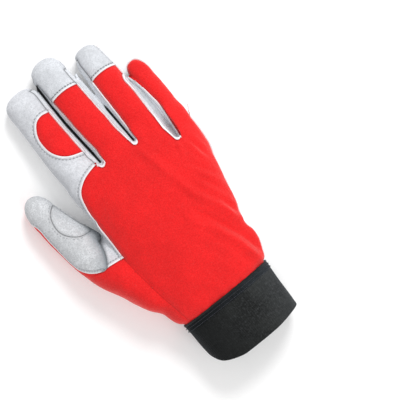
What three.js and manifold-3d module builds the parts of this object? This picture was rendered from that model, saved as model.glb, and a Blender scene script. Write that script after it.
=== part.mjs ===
// Mechanic glove for the right hand, lying on its palm with the back of the hand up.
// Sizes are in millimetres. While it is modelled, x runs across the hand (the thumb is at -x),
// y runs from the open end of the cuff to the fingertips, and z = 0 is the surface it rests on.
// The glove is a thin hollow skin. It is lofted through oval sections that stand across y,
// slit between the fingers, and then cut along its seams into the panels that it is sewn from.
import * as THREE from 'three';
import { mergeVertices } from 'three/addons/utils/BufferGeometryUtils.js';
import Module from 'manifold-3d';

const wasm = await Module();
wasm.setup();

// Driving dimensions
const CUFF_LENGTH = 41;
const CUFF_WIDTH = 71;
const CUFF_DEPTH = 36;
const CUFF_WALL = 2.4;
const CUFF_END_TILT = 5; // how much shorter the cuff is under the palm than on the back
const BINDING_WIDTH = 2;
const BINDING_HEIGHT = 0.8;
const PALM_LENGTH = 125; // from the cuff seam to inside the finger roots
const PALM_WIDTH = 99;
const PALM_DEPTH = 43;
const THUMB_LENGTH = 128; // from inside the heel of the hand to the thumb's tip
const THUMB_START = 10; // from the cuff seam to the thumb's first section
const THUMB_SPREAD = 74.2; // from the middle of the cuff to the thumb's outer edge
const THUMB_DEPTH = 34;
const FINGER_LIFT = 5; // how high the finger roots lie over the surface
const TIP_LENGTH = 13; // length of a fingertip's rounded end
const WALL = 1.6; // leather and fabric
const TIP_WALL = 1.5; // how many times thicker the wall is at the tips, where the seams meet
const GAP = 0.3; // between two pieces at a seam
const STRIP_ROOT = 2.3; // from a slit's lower end to the seam round it
const SLIT_WIDTH = 2.8;
const STRIP_END = 8; // from a fingertip to the end of the strip beside it
const THUMB_CROTCH = 2.6; // room between the hand's edge and the thumb
const CAP_TURN = 6; // how far a fingertip cap turns round the tip to the palm side
const STRAP_LENGTH = 59;
const STRAP_WIDTH = 33;
const STRAP_BAND = 1.2; // thickness of the strap's band
const STRAP_FOLD = 8; // length of the strap's doubled, sewn end
const STRAP_MARGIN = 1; // from the strap to the binding
const TAB_LENGTH = 50.5;
const TAB_WIDTH = 34;
const TAB_THICKNESS = 1.4;
const TAB_RIM = 3.4;
const TAB_GROOVE_DEPTH = 0.5;

// How finely the solids are faceted
const PALM_SIDES = 28;
const THUMB_SIDES = 18;
const FINGER_SIDES = 16;
const CUFF_SIDES = 28;
const PALM_STATIONS = 16;
const THUMB_STATIONS = 9;
const FINGER_STATIONS = 6;
const TIP_STATIONS = 4;
const INSIDE_SHARE = 0.6; // the inside of the fingers and thumb has fewer sides and stations
const SEAM_STEP = 7;

// Squareness of the sections' upper and lower halves: 2 is an ellipse, more is squarer.
const PALM_SQUARE = [2.2, 3];
const THUMB_SQUARE = [2.1, 2.6];
const FINGER_SQUARE = [2.15, 2.5];
const CUFF_SQUARE = [2.2, 4];
const TIP_SQUARE = 2.5; // a fingertip's rounded end, seen from above
const ROOT_NARROWS = 0.6; // how fast a finger narrows inside the palm
const THUMB_TIP = 0.9; // share of the thumb where its tip starts to close

// The cuff widens a little towards the hand: half its width and its whole depth at its open end,
// in shares of CUFF_WIDTH and CUFF_DEPTH, and how much more they are at the seam.
const CUFF_END_WIDTH = 0.485;
const CUFF_WIDENS = 0.03;
const CUFF_END_DEPTH = 0.95;
const CUFF_DEEPENS = 0.05;
const CUFF_SINKS = 0.02; // how far its underside would reach below the strap if it weren't flat

// Places that follow from the sizes
const CUFF_SEAM = CUFF_LENGTH + GAP;
const CUFF_MIDDLE = 0.014 * CUFF_WIDTH;
const BAND_LOW = TAB_THICKNESS + GAP;
const STRAP_TOP = BAND_LOW + STRAP_BAND;
const CUFF_FLOOR = STRAP_TOP + GAP;
const HIGH = 90; // clears everything upwards
const LOW = -10; // clears everything downwards
const FAR = 300; // clears everything sideways

// Each finger: width and place across the hand at its root, middle and tip, and how far it reaches.
const INDEX = { rootWidth: 29.2, midWidth: 28.2, tipWidth: 27.2, rootX: -24.7, midX: -25.5, tipX: -25.9,
  rootY: 166, tipY: 243, depth: 24 };
const MIDDLE = { rootWidth: 24.4, midWidth: 26.4, tipWidth: 23.8, rootX: 5.2, midX: 2.7, tipX: 1,
  rootY: 166, tipY: 250, depth: 24.5 };
const RING = { rootWidth: 23.6, midWidth: 22.8, tipWidth: 21, rootX: 31.6, midX: 31.5, tipX: 30.9,
  rootY: 164, tipY: 239.3, depth: 22.5 };
const LITTLE = { rootWidth: 15.6, midWidth: 14.6, tipWidth: 15, rootX: 52.3, midX: 53.2, tipX: 52,
  rootY: 150, tipY: 210.4, depth: 18.5 };
const FINGERS = [INDEX, MIDDLE, RING, LITTLE];

// The slits between fingers, each with the lowest point of its opening, and how far the strip that
// lines it reaches onto the finger at its left and the one at its right.
const SLITS = [
  { name: 'index_middle', x: -8.5, y: 165.5, left: INDEX, right: MIDDLE, ontoLeft: 2.6, ontoRight: 2.4 },
  { name: 'middle_ring', x: 19.1, y: 162.8, left: MIDDLE, right: RING, ontoLeft: 2.3, ontoRight: 2.1 },
  { name: 'ring_little', x: 44.2, y: 147.2, left: RING, right: LITTLE, ontoLeft: 2.6, ontoRight: 2.5 },
];

// Sections of the palm: along in shares of PALM_LENGTH, left and right of PALM_WIDTH, low and high
// of PALM_DEPTH. What lies below 0 is pressed flat by the surface that the glove rests on.
const PALM_ROWS = [
  { along: 0.0, left: -0.362, right: 0.378, low: 0.07, high: 0.915 },
  { along: 0.05, left: -0.395, right: 0.416, low: 0.03, high: 0.955 },
  { along: 0.12, left: -0.42, right: 0.446, low: -0.03, high: 0.975 },
  { along: 0.18, left: -0.425, right: 0.45, low: -0.04, high: 0.98 },
  { along: 0.25, left: -0.43, right: 0.437, low: -0.04, high: 0.985 },
  { along: 0.36, left: -0.428, right: 0.486, low: -0.04, high: 1.0 },
  { along: 0.54, left: -0.414, right: 0.538, low: -0.02, high: 1.0 },
  { along: 0.68, left: -0.402, right: 0.575, low: 0.02, high: 0.97 },
  { along: 0.79, left: -0.392, right: 0.592, low: 0.08, high: 0.89 },
  { along: 0.91, left: -0.397, right: 0.606, low: 0.11, high: 0.78 },
  { along: 1.0, left: -0.397, right: 0.61, low: 0.12, high: 0.7 },
];

// Sections of the thumb: along in shares of THUMB_LENGTH, left and right of THUMB_SPREAD,
// low and high of THUMB_DEPTH.
const THUMB_ROWS = [
  { along: 0.0, left: -0.5, right: -0.36, low: 0.15, high: 0.8 },
  { along: 0.08, left: -0.616, right: -0.36, low: 0.05, high: 1.0 },
  { along: 0.23, left: -0.745, right: -0.38, low: 0.0, high: 1.04 },
  { along: 0.38, left: -0.872, right: -0.42, low: -0.03, high: 0.98 },
  { along: 0.53, left: -0.935, right: -0.52, low: -0.03, high: 0.88 },
  { along: 0.6, left: -0.957, right: -0.555, low: -0.03, high: 0.83 },
  { along: 0.68, left: -0.978, right: -0.604, low: -0.03, high: 0.78 },
  { along: 0.75, left: -0.992, right: -0.65, low: -0.03, high: 0.74 },
  { along: 0.83, left: -1.0, right: -0.694, low: -0.02, high: 0.7 },
  { along: 0.9, left: -0.998, right: -0.733, low: 0.0, high: 0.66 },
  { along: 0.95, left: -0.975, right: -0.765, low: 0.06, high: 0.6 },
  { along: 0.985, left: -0.93, right: -0.81, low: 0.14, high: 0.52 },
  { along: 1.0, left: -0.885, right: -0.85, low: 0.27, high: 0.38 },
];

// A finger's height over the surface in shares of FINGER_LIFT and its depth in shares of its own.
const FINGER_ROWS = [
  { along: -0.35, lift: 1.1, deep: 1.0 },
  { along: 0.0, lift: 1.05, deep: 1.02 },
  { along: 0.35, lift: 0.95, deep: 0.97 },
  { along: 0.65, lift: 0.5, deep: 0.91 },
  { along: 0.85, lift: -0.05, deep: 0.86 },
  { along: 1.0, lift: -0.12, deep: 0.82 },
];

// Soft folds: each runs between two places (across in shares of PALM_WIDTH, along in shares of
// PALM_LENGTH) on the back (side 1) or the palm (side -1). Half width and depth are shares of
// PALM_DEPTH, and a depth under 0 is a ridge.
const FOLDS = [
  { side: 1, fromX: 0.26, fromY: 0.93, toX: 0.44, toY: 0.42, half: 0.2, depth: 0.035 },
  { side: 1, fromX: 0.16, fromY: 0.62, toX: 0.42, toY: 0.26, half: 0.18, depth: 0.03 },
  { side: 1, fromX: 0.3, fromY: 0.34, toX: 0.38, toY: 0.02, half: 0.16, depth: 0.025 },
  { side: -1, fromX: -0.38, fromY: 0.66, toX: -0.08, toY: 0.74, half: 0.18, depth: 0.06 },
  { side: -1, fromX: -0.36, fromY: 0.6, toX: -0.02, toY: 0.5, half: 0.18, depth: 0.05 },
];

// Height of the side seams, where the back of the glove meets the palm: along in shares of the
// hand's length from the cuff seam, high in shares of PALM_DEPTH. One runs up the hand's edge to
// the little finger, the other along the thumb's side and up the other fingers.
const LITTLE_EDGE_ROWS = [
  { along: -0.3, high: 0.49 }, { along: 0.3, high: 0.49 }, { along: 0.5, high: 0.42 },
  { along: 0.66, high: 0.26 }, { along: 0.8, high: 0.2 }, { along: 1.2, high: 0.2 },
];
const INNER_ROWS = [
  { along: -0.3, high: 0.3 }, { along: 0.305, high: 0.3 }, { along: 0.37, high: 0.45 },
  { along: 0.55, high: 0.45 }, { along: 0.6, high: 0.41 }, { along: 0.8, high: 0.353 },
  { along: 0.95, high: 0.25 }, { along: 1.2, high: 0.22 },
];

// Seam lines seen from above, each point a share across (of PALM_WIDTH, or of THUMB_SPREAD on the
// thumb) and a share along (of PALM_LENGTH from the cuff seam).
const BACK_SEAM = [
  { across: -0.295, along: -0.08 }, { across: -0.3, along: 0.01 }, { across: -0.333, along: 0.18 },
  { across: -0.362, along: 0.35 }, { across: -0.38, along: 0.51 }, { across: -0.38, along: 0.63 },
  { across: -0.376, along: 0.76 }, { across: -0.366, along: 0.85 }, { across: -0.333, along: 0.93 },
  { across: -0.262, along: 0.976 }, { across: -0.19, along: 0.998 }, { across: -0.09, along: 1.015 },
];
const BACK_SEAM_AT_THUMB = BACK_SEAM.slice(0, 5);
const THUMB_EDGE_TOP = [
  { across: -1.05, along: 1.02 }, { across: -0.976, along: 0.95 }, { across: -0.964, along: 0.84 },
  { across: -0.947, along: 0.705 }, { across: -0.907, along: 0.612 }, { across: -0.833, along: 0.552 },
  { across: -0.736, along: 0.522 }, { across: -0.685, along: 0.524 },
];
const THUMB_EDGE_PALM = [
  { across: -0.862, along: 1.14 }, { across: -0.885, along: 1.05 }, { across: -0.908, along: 0.98 },
  { across: -0.906, along: 0.86 }, { across: -0.878, along: 0.7 }, { across: -0.815, along: 0.56 },
  { across: -0.735, along: 0.45 }, { across: -0.63, along: 0.34 }, { across: -0.5, along: 0.17 },
  { across: -0.33, along: 0.0 }, { across: -0.3, along: -0.08 },
];
const THUMB_ROOT_TOP = [
  { across: -0.52, along: 0.76 }, { across: -0.552, along: 0.69 }, { across: -0.585, along: 0.63 },
  { across: -0.64, along: 0.565 }, { across: -0.685, along: 0.524 },
];
const THUMB_ROOT_PALM = [
  { across: -0.52, along: 0.76 }, { across: -0.55, along: 0.69 }, { across: -0.6, along: 0.6 },
  { across: -0.69, along: 0.5 }, { across: -0.78, along: 0.45 },
];
const THUMB_PATCH = [
  { across: -0.66, along: 1.03 }, { across: -0.738, along: 0.985 }, { across: -0.8, along: 0.945 },
  { across: -0.832, along: 0.885 }, { across: -0.82, along: 0.83 }, { across: -0.76, along: 0.782 },
  { across: -0.676, along: 0.75 }, { across: -0.55, along: 0.75 },
];
const KNUCKLE_PATCH = [
  { across: -0.125, along: 1.41 }, { across: -0.157, along: 1.41 }, { across: -0.21, along: 1.415 },
  { across: -0.267, along: 1.397 }, { across: -0.314, along: 1.345 }, { across: -0.328, along: 1.29 },
  { across: -0.318, along: 1.23 }, { across: -0.285, along: 1.178 }, { across: -0.228, along: 1.137 },
  { across: -0.131, along: 1.11 }, { across: -0.12, along: 1.11 },
];
// The cuff's open end on the back: shares of CUFF_WIDTH and CUFF_LENGTH.
const CUFF_END = [
  { across: -0.56, along: 0.55 }, { across: -0.49, along: 0.38 }, { across: -0.44, along: 0.21 },
  { across: -0.37, along: 0.11 }, { across: -0.2, along: 0.02 }, { across: 0.0, along: 0.0 },
  { across: 0.25, along: 0.02 }, { across: 0.42, along: 0.06 }, { across: 0.56, along: 0.1 },
];
const CAP_SEAMS = [
  { name: 'middle', finger: MIDDLE, fromTip: 30.2, rise: 1.8 },
  { name: 'ring', finger: RING, fromTip: 25.3, rise: 1.6 },
];

// A smooth curve through a table: the value of one column at a place along.
function follow(rows, column, place) {
  const last = rows.length - 1;
  if (place <= rows[0].along) return rows[0][column];
  if (place >= rows[last].along) return rows[last][column];
  const i = rows.findIndex((row) => row.along > place) - 1;
  const slope = (a, b) => (rows[b][column] - rows[a][column]) / (rows[b].along - rows[a].along);
  const before = slope(Math.max(i - 1, 0), i + 1);
  const after = slope(i, Math.min(i + 2, last));
  const step = rows[i + 1].along - rows[i].along;
  const t = (place - rows[i].along) / step;
  return rows[i][column] * (1 + 2 * t) * (1 - t) ** 2 + before * step * t * (1 - t) ** 2
    + rows[i + 1][column] * t * t * (3 - 2 * t) + after * step * t * t * (t - 1);
}

// A parabola through three values, held at its first value before the root.
function throughThree(root, middle, tip, t) {
  const s = Math.max(t, 0);
  return root * (1 - s) * (1 - 2 * s) + 4 * middle * s * (1 - s) + tip * s * (2 * s - 1);
}

// One oval section: centre, half sizes, and the squareness of its upper and of its lower half.
function oval(y, left, right, low, high, upper, lower) {
  return { y, x: (left + right) / 2, z: (low + high) / 2, wide: (right - left) / 2,
    deep: (high - low) / 2, upper, lower };
}

function palmSection(share) {
  const at = (column) => follow(PALM_ROWS, column, share);
  return oval(CUFF_SEAM + share * PALM_LENGTH, at('left') * PALM_WIDTH, at('right') * PALM_WIDTH,
    at('low') * PALM_DEPTH, at('high') * PALM_DEPTH, ...PALM_SQUARE);
}

function thumbSection(share) {
  const at = (column) => follow(THUMB_ROWS, column, share);
  return oval(CUFF_SEAM + THUMB_START + share * THUMB_LENGTH, at('left') * THUMB_SPREAD,
    at('right') * THUMB_SPREAD, at('low') * THUMB_DEPTH, at('high') * THUMB_DEPTH, ...THUMB_SQUARE);
}

const fingerLength = (finger) => finger.tipY - finger.rootY;

// t is 0 at the finger's root and 1 at its tip, where the section closes like a dome. Before the
// root the finger narrows and so stays inside the palm.
function fingerSection(finger, t) {
  const domeStart = 1 - TIP_LENGTH / fingerLength(finger);
  const dome = Math.min(Math.max((t - domeStart) / (1 - domeStart), 0), 0.995);
  const shrink = (1 - dome ** TIP_SQUARE) ** (1 / TIP_SQUARE) * (1 + ROOT_NARROWS * Math.min(t, 0));
  const width = throughThree(finger.rootWidth, finger.midWidth, finger.tipWidth, t) * shrink;
  const x = throughThree(finger.rootX, finger.midX, finger.tipX, t);
  const depth = finger.depth * follow(FINGER_ROWS, 'deep', t);
  const middle = FINGER_LIFT * follow(FINGER_ROWS, 'lift', t) + depth / 2;
  return oval(finger.rootY + t * fingerLength(finger), x - width / 2, x + width / 2,
    middle - depth * shrink / 2, middle + depth * shrink / 2, ...FINGER_SQUARE);
}

function cuffSection(share) {
  const half = (CUFF_END_WIDTH + CUFF_WIDENS * share) * CUFF_WIDTH;
  const low = CUFF_FLOOR - CUFF_SINKS * CUFF_DEPTH;
  const high = low + (CUFF_END_DEPTH + CUFF_DEEPENS * share) * CUFF_DEPTH;
  return oval(share * CUFF_LENGTH, CUFF_MIDDLE - half, CUFF_MIDDLE + half, low, high, ...CUFF_SQUARE);
}

// The same section with a wall taken off all round.
function inset(section, wall) {
  const less = (half) => Math.max(half - wall, 0.2);
  return { ...section, wide: less(section.wide), deep: less(section.deep) };
}

function sectionPoint(section, angle) {
  const square = Math.sin(angle) >= 0 ? section.upper : section.lower;
  const round = (value) => Math.sign(value) * Math.abs(value) ** (2 / square);
  return [section.x + section.wide * round(Math.cos(angle)), section.y,
    section.z + section.deep * round(Math.sin(angle))];
}

// How far the folds on one side of the hand press the skin in at a place.
function foldDepth(x, y, side) {
  let depth = 0;
  for (const fold of FOLDS) {
    if (fold.side !== side) continue;
    const from = new THREE.Vector3(fold.fromX * PALM_WIDTH, CUFF_SEAM + fold.fromY * PALM_LENGTH, 0);
    const to = new THREE.Vector3(fold.toX * PALM_WIDTH, CUFF_SEAM + fold.toY * PALM_LENGTH, 0);
    const here = new THREE.Vector3(x, y, 0);
    const nearest = new THREE.Line3(from, to).closestPointToPoint(here, true, new THREE.Vector3());
    const near = 1 - here.distanceTo(nearest) / (fold.half * PALM_DEPTH);
    if (near > 0) depth += fold.depth * PALM_DEPTH * near * near * (3 - 2 * near);
  }
  return depth;
}

// A closed mesh as a solid for joining and cutting.
function solidOf(geometry) {
  const bare = geometry.clone();
  bare.deleteAttribute('normal');
  bare.deleteAttribute('uv');
  const merged = mergeVertices(bare, 1e-4);
  return new wasm.Manifold(new wasm.Mesh({
    numProp: 3,
    vertProperties: merged.attributes.position.array,
    triVerts: new Uint32Array(merged.index.array),
  }));
}

// A closed body through a list of sections, with the given number of sides. It is pressed flat on
// a floor, and on the hand itself it follows the folds.
function loft(sections, sides, floor, folded) {
  const points = [];
  const faces = [];
  for (const section of sections)
    for (let i = 0; i < sides; i++) {
      const [x, y, z] = sectionPoint(section, (i / sides) * 2 * Math.PI);
      const side = z > section.z ? 1 : -1;
      const pressed = folded ? z - side * foldDepth(x, y, side) : z;
      points.push(x, y, Math.max(pressed, floor));
    }
  for (let row = 0; row + 1 < sections.length; row++)
    for (let i = 0; i < sides; i++) {
      const j = (i + 1) % sides;
      const [a, b] = [row * sides + i, row * sides + j];
      const [c, d] = [a + sides, b + sides];
      faces.push(a, c, b, b, c, d);
    }
  for (const [row, reverse] of [[0, false], [sections.length - 1, true]]) {
    const { x, y, z } = sections[row];
    const centre = points.length / 3;
    points.push(x, y, z);
    for (let i = 0; i < sides; i++) {
      const [a, b] = [row * sides + i, row * sides + ((i + 1) % sides)];
      faces.push(centre, ...(reverse ? [b, a] : [a, b]));
    }
  }
  const geometry = new THREE.BufferGeometry();
  geometry.setAttribute('position', new THREE.Float32BufferAttribute(points, 3));
  geometry.setIndex(faces);
  return solidOf(geometry);
}

// Sections of a loft at even shares from one end to the other.
const spread = (section, from, to, count) =>
  Array.from({ length: count + 1 }, (_, i) => section(from + (i / count) * (to - from)));

// Sections with their stations drawn together at the rounded end.
const spreadWithTip = (section, from, tip, end, count, tipCount) =>
  [...spread(section, from, tip, count), ...spread(section, tip, end, tipCount).slice(1)];

// The whole hand form, smaller all round by the given wall, and slit between the fingers.
function handForm(wall) {
  const coarse = (count) => (wall > 0 ? Math.ceil(count * INSIDE_SHARE) : count);
  const taken = (section) => (place) => inset(section(place), wall);
  const palm = spread(taken(palmSection), -0.03, 1 - wall / PALM_LENGTH, PALM_STATIONS);
  const thumbEnd = 1 - TIP_WALL * wall / THUMB_LENGTH;
  const thumb = spreadWithTip(taken(thumbSection), 0, THUMB_TIP, thumbEnd, coarse(THUMB_STATIONS),
    TIP_STATIONS);
  const parts = [loft(palm, PALM_SIDES, wall, true), loft(thumb, coarse(THUMB_SIDES), wall, false)];
  for (const finger of FINGERS) {
    const end = 1 - TIP_WALL * wall / fingerLength(finger);
    const tip = 1 - TIP_LENGTH / fingerLength(finger);
    const sections = spreadWithTip(taken((t) => fingerSection(finger, t)), -0.3, tip, end,
      coarse(FINGER_STATIONS), TIP_STATIONS);
    parts.push(loft(sections, coarse(FINGER_SIDES), wall, false));
  }
  const form = parts.reduce((whole, part) => whole.add(part));
  return cutAway(form, SLITS.map((slit) => upright(slitOutline(slit, wall))));
}

const cutAway = (solid, cutters) => cutters.reduce((rest, cutter) => rest.subtract(cutter), solid);

// Left and right edge of a finger at a place along the hand.
function fingerEdges(finger, y) {
  const { x, wide } = fingerSection(finger, (y - finger.rootY) / fingerLength(finger));
  return [x - wide, x + wide];
}

// Half a circle round the lower end of a slit.
function slitEnd(slit, radius) {
  const steps = 6;
  return Array.from({ length: steps + 1 }, (_, i) => {
    const angle = Math.PI * (1 + i / steps);
    return [slit.x + radius * Math.cos(angle), slit.y + SLIT_WIDTH / 2 + radius * Math.sin(angle)];
  });
}

// A slit seen from above, grown by a margin. It ends between the two fingers' edges.
function slitOutline(slit, margin) {
  const half = SLIT_WIDTH / 2 + margin;
  const y = (slit.y + Math.min(slit.left.tipY, slit.right.tipY)) / 2;
  const x = (fingerEdges(slit.left, y)[1] + fingerEdges(slit.right, y)[0]) / 2;
  return [...slitEnd(slit, half), [x + half, y], [x + half, FAR], [x - half, FAR], [x - half, y]];
}

// The strip that lines a slit, from the seam on one finger to the seam on the next.
function slitStrip(slit, margin) {
  const half = SLIT_WIDTH / 2 + STRIP_ROOT + margin;
  const reach = Math.min(slit.left.tipY, slit.right.tipY) - STRIP_END + margin;
  const start = slit.y + SLIT_WIDTH / 2 + 2 * SEAM_STEP;
  const seam = (finger, side, inset) => Array.from({ length: 5 }, (_, i) => {
    const y = start + (i / 4) * (reach - start);
    return [fingerEdges(finger, y)[side > 0 ? 0 : 1] + side * (inset + margin), y];
  });
  return [...slitEnd(slit, half), ...seam(slit.right, 1, slit.ontoRight),
    ...seam(slit.left, -1, slit.ontoLeft).reverse()];
}

// An outline seen from above, as an upright prism. Any turning direction will do.
function upright(outline, low = LOW, high = HIGH) {
  const shape = new THREE.Shape(outline.map(([x, y]) => new THREE.Vector2(x, y)));
  const prism = new THREE.ExtrudeGeometry(shape, { depth: high - low, bevelEnabled: false });
  prism.translate(0, 0, low);
  return solidOf(prism);
}

// An outline seen from the side, in y and z, as a block right across the hand.
function crosswise(outline) {
  const shape = new THREE.Shape(outline.map(([y, z]) => new THREE.Vector2(y, z)));
  const block = new THREE.ExtrudeGeometry(shape, { depth: 2 * FAR, bevelEnabled: false });
  block.applyMatrix4(new THREE.Matrix4().makeBasis(
    new THREE.Vector3(0, 1, 0), new THREE.Vector3(0, 0, 1), new THREE.Vector3(1, 0, 0)));
  block.translate(-FAR, 0, 0);
  return solidOf(block);
}

// Everything over or under a side seam, whose rows give its height in shares of a depth.
function besideSeam(rows, start, length, depth, shift, edge) {
  const seam = rows.map((row) => [start + row.along * length, row.high * depth + shift]);
  return crosswise([...seam, [seam.at(-1)[0], edge], [seam[0][0], edge]]);
}

const HAND_LENGTH = MIDDLE.tipY - CUFF_SEAM;
const lastSlit = SLITS.at(-1);
const inner = upright([[-FAR, -FAR], [0, -FAR], [0, lastSlit.y], [lastSlit.x, lastSlit.y],
  [lastSlit.x, FAR], [-FAR, FAR]]);
function backSide(margin) {
  const over = (rows) => besideSeam(rows, CUFF_SEAM, HAND_LENGTH, PALM_DEPTH, -margin, HIGH);
  return over(LITTLE_EDGE_ROWS).subtract(inner).add(over(INNER_ROWS).intersect(inner));
}

// The thumb's side seam runs at half its height.
const thumbSeamRows = THUMB_ROWS.map(({ along, low, high }) => ({ along, high: (low + high) / 2 }));
const thumbSeamEnd = { along: 2, high: thumbSeamRows.at(-1).high };
const thumbSeam = [{ along: -1, high: 0.5 }, ...thumbSeamRows, thumbSeamEnd];
const thumbSide = (shift, edge) =>
  besideSeam(thumbSeam, CUFF_SEAM + THUMB_START, THUMB_LENGTH, THUMB_DEPTH, shift, edge);
const thumbBack = (margin) => thumbSide(-margin, HIGH);
const thumbPalm = (margin) => thumbSide(margin, LOW);

// A seam table as a smooth line of points in millimetres.
function smoothLine(rows, width, start, length) {
  const knots = rows.map((row) => new THREE.Vector2(row.across * width, start + row.along * length));
  const line = new THREE.SplineCurve(knots);
  const count = Math.max(knots.length - 1, Math.round(line.getLength() / SEAM_STEP));
  return line.getPoints(count).map((point) => [point.x, point.y]);
}
const seamLine = (rows, width) => smoothLine(rows, width, CUFF_SEAM, PALM_LENGTH);

// Moves a line sideways, to the left of its direction.
function shifted(line, distance) {
  return line.map(([x, y], i) => {
    const [ax, ay] = line[Math.max(i - 1, 0)];
    const [bx, by] = line[Math.min(i + 1, line.length - 1)];
    const length = Math.hypot(bx - ax, by - ay);
    return [x - (distance * (by - ay)) / length, y + (distance * (bx - ax)) / length];
  });
}

// Cutters. Each holds one panel's share of the skin, grown by a margin.
function backCutter(margin) {
  const line = shifted(seamLine(BACK_SEAM, PALM_WIDTH), margin);
  const slit = SLITS[0];
  const besideMiddle = fingerEdges(MIDDLE, CUFF_SEAM + 1.5 * PALM_LENGTH)[0] - 1;
  const outline = [...line, [slit.x - margin, slit.y + 2 * SLIT_WIDTH], [besideMiddle, FAR], [FAR, FAR],
    [FAR, line[0][1]]];
  return upright(outline).intersect(backSide(margin));
}

function knuckleCutter(margin) {
  return upright(shifted(seamLine(KNUCKLE_PATCH, PALM_WIDTH), -margin)).intersect(backSide(margin));
}

// A cap reaches back to an arched seam on the back and only turns round the tip on the palm side.
function capCutter({ finger, fromTip, rise }, margin) {
  const seamY = finger.tipY - fromTip - margin;
  const turnY = finger.tipY - CAP_TURN - margin;
  const half = finger.tipWidth / 2 + 1.2;
  const shares = [-1, -0.6, -0.2, 0.2, 0.6, 1];
  const arc = shares.map((s) => [finger.tipX + s * half, seamY + rise * (1 - s * s)]);
  const [left, right] = [finger.tipX - half, finger.tipX + half];
  const palm = upright([[left, turnY], [right, turnY], [right, FAR], [left, FAR]]);
  return upright([...arc, [right, FAR], [left, FAR]]).intersect(backSide(margin)).add(palm);
}

// The side panel lies along the thumb's outer edge and the heel of the hand, on back and palm.
function sideCutter(margin) {
  const edge = shifted(seamLine(THUMB_EDGE_TOP, THUMB_SPREAD), margin);
  const down = shifted(seamLine(BACK_SEAM_AT_THUMB, PALM_WIDTH), -margin).reverse();
  const top = upright([...edge, ...down, [-FAR, down.at(-1)[1]], [-FAR, edge[0][1]]]);
  const under = shifted(seamLine(THUMB_EDGE_PALM, THUMB_SPREAD), margin);
  const palm = upright([...under, [-FAR, under.at(-1)[1]], [-FAR, under[0][1]]]);
  return top.intersect(thumbBack(margin)).add(palm.intersect(thumbPalm(margin)));
}

// The thumb beyond its root. Further up, the cutter passes between the thumb and the index finger.
function thumbCutter(margin) {
  const beyond = (rows) => {
    const line = shifted(seamLine(rows, THUMB_SPREAD), margin);
    const [x, y] = line[0];
    const between = x - THUMB_CROTCH;
    const outside = [[-FAR, line.at(-1)[1]], [-FAR, FAR], [between, FAR], [between, y + THUMB_CROTCH]];
    return upright([...line, ...outside]);
  };
  const top = beyond(THUMB_ROOT_TOP).intersect(thumbBack(margin));
  return top.add(beyond(THUMB_ROOT_PALM).intersect(thumbPalm(margin)));
}

function thumbPatchCutter(margin) {
  return upright(shifted(seamLine(THUMB_PATCH, THUMB_SPREAD), -margin)).intersect(thumbBack(margin));
}

// A band round the cuff, from one share of its length to another. Its inside is wall deep.
function cuffBand(from, to, steps, wall, outset) {
  const band = (grow, first, last, floor) => {
    const sections = spread((share) => inset(cuffSection(share), -grow), first, last, steps);
    return loft(sections, CUFF_SIDES, floor, false);
  };
  const outer = band(outset, from, to, CUFF_FLOOR - outset);
  return outer.subtract(band(outset - wall, from - 0.1, to + 0.1, CUFF_FLOOR - outset + wall));
}

// What the cuff's open end lacks: it curves back at its corners and is shorter under the palm.
function cuffEndCutter() {
  const curve = smoothLine(CUFF_END, CUFF_WIDTH, 0, CUFF_LENGTH);
  const below = [[FAR, curve.at(-1)[1]], [FAR, -FAR], [-FAR, -FAR], [-FAR, curve[0][1]]];
  const back = upright([...curve, ...below]);
  const top = CUFF_FLOOR + CUFF_DEPTH;
  const slope = [[-FAR, LOW], [CUFF_END_TILT, LOW], [CUFF_END_TILT, CUFF_FLOOR], [0, top], [-FAR, top]];
  return back.add(crosswise(slope));
}

// The strap lies under the cuff, square at its sewn end and round at the free one.
const strapMiddle = CUFF_LENGTH - BINDING_WIDTH - STRAP_MARGIN - STRAP_WIDTH / 2;
const strapRight = CUFF_MIDDLE + STRAP_LENGTH / 2;
const tabRight = strapRight - STRAP_FOLD - GAP;
function strapOutline(right, length, width, take) {
  const radius = width / 2 - take;
  const centre = right - length + width / 2;
  const bend = (value) => Math.sign(value) * Math.abs(value) ** 0.85;
  const round = Array.from({ length: 11 }, (_, i) => {
    const angle = Math.PI * (0.5 + i / 10);
    return [centre + radius * bend(Math.cos(angle)), strapMiddle + radius * bend(Math.sin(angle))];
  });
  return [[right - take, strapMiddle - radius], [right - take, strapMiddle + radius], ...round];
}

function wristStrap() {
  const outline = strapOutline(strapRight, STRAP_LENGTH, STRAP_WIDTH, 0);
  const foldStart = strapRight - STRAP_FOLD;
  const fold = upright([[foldStart, -FAR], [FAR, -FAR], [FAR, FAR], [foldStart, FAR]]);
  return upright(outline, BAND_LOW, STRAP_TOP)
    .add(upright(outline, BAND_LOW - STRAP_BAND, STRAP_TOP).intersect(fold));
}

function strapTab() {
  const face = strapOutline(tabRight, TAB_LENGTH, TAB_WIDTH, TAB_RIM);
  return upright(strapOutline(tabRight, TAB_LENGTH, TAB_WIDTH, 0), 0, TAB_THICKNESS)
    .subtract(upright(face, LOW, TAB_GROOVE_DEPTH));
}

// The skin, and its panels
const hand = handForm(0).subtract(handForm(WALL));
const skin = hand.subtract(upright([[-FAR, LOW], [FAR, LOW], [FAR, CUFF_SEAM], [-FAR, CUFF_SEAM]]));
const strips = SLITS.map((slit) => upright(slitStrip(slit, GAP)));
const caps = CAP_SEAMS.map((cap) => capCutter(cap, GAP));

const RED = { color: 0xdc2a2b, roughness: 0.85, metalness: 0 };
const LEATHER = { color: 0xc4c8ce, roughness: 0.8, metalness: 0 };
const KNIT = { color: 0x2b2d2c, roughness: 0.95, metalness: 0 };
const RUBBER = { color: 0x222422, roughness: 0.6, metalness: 0 };

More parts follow.
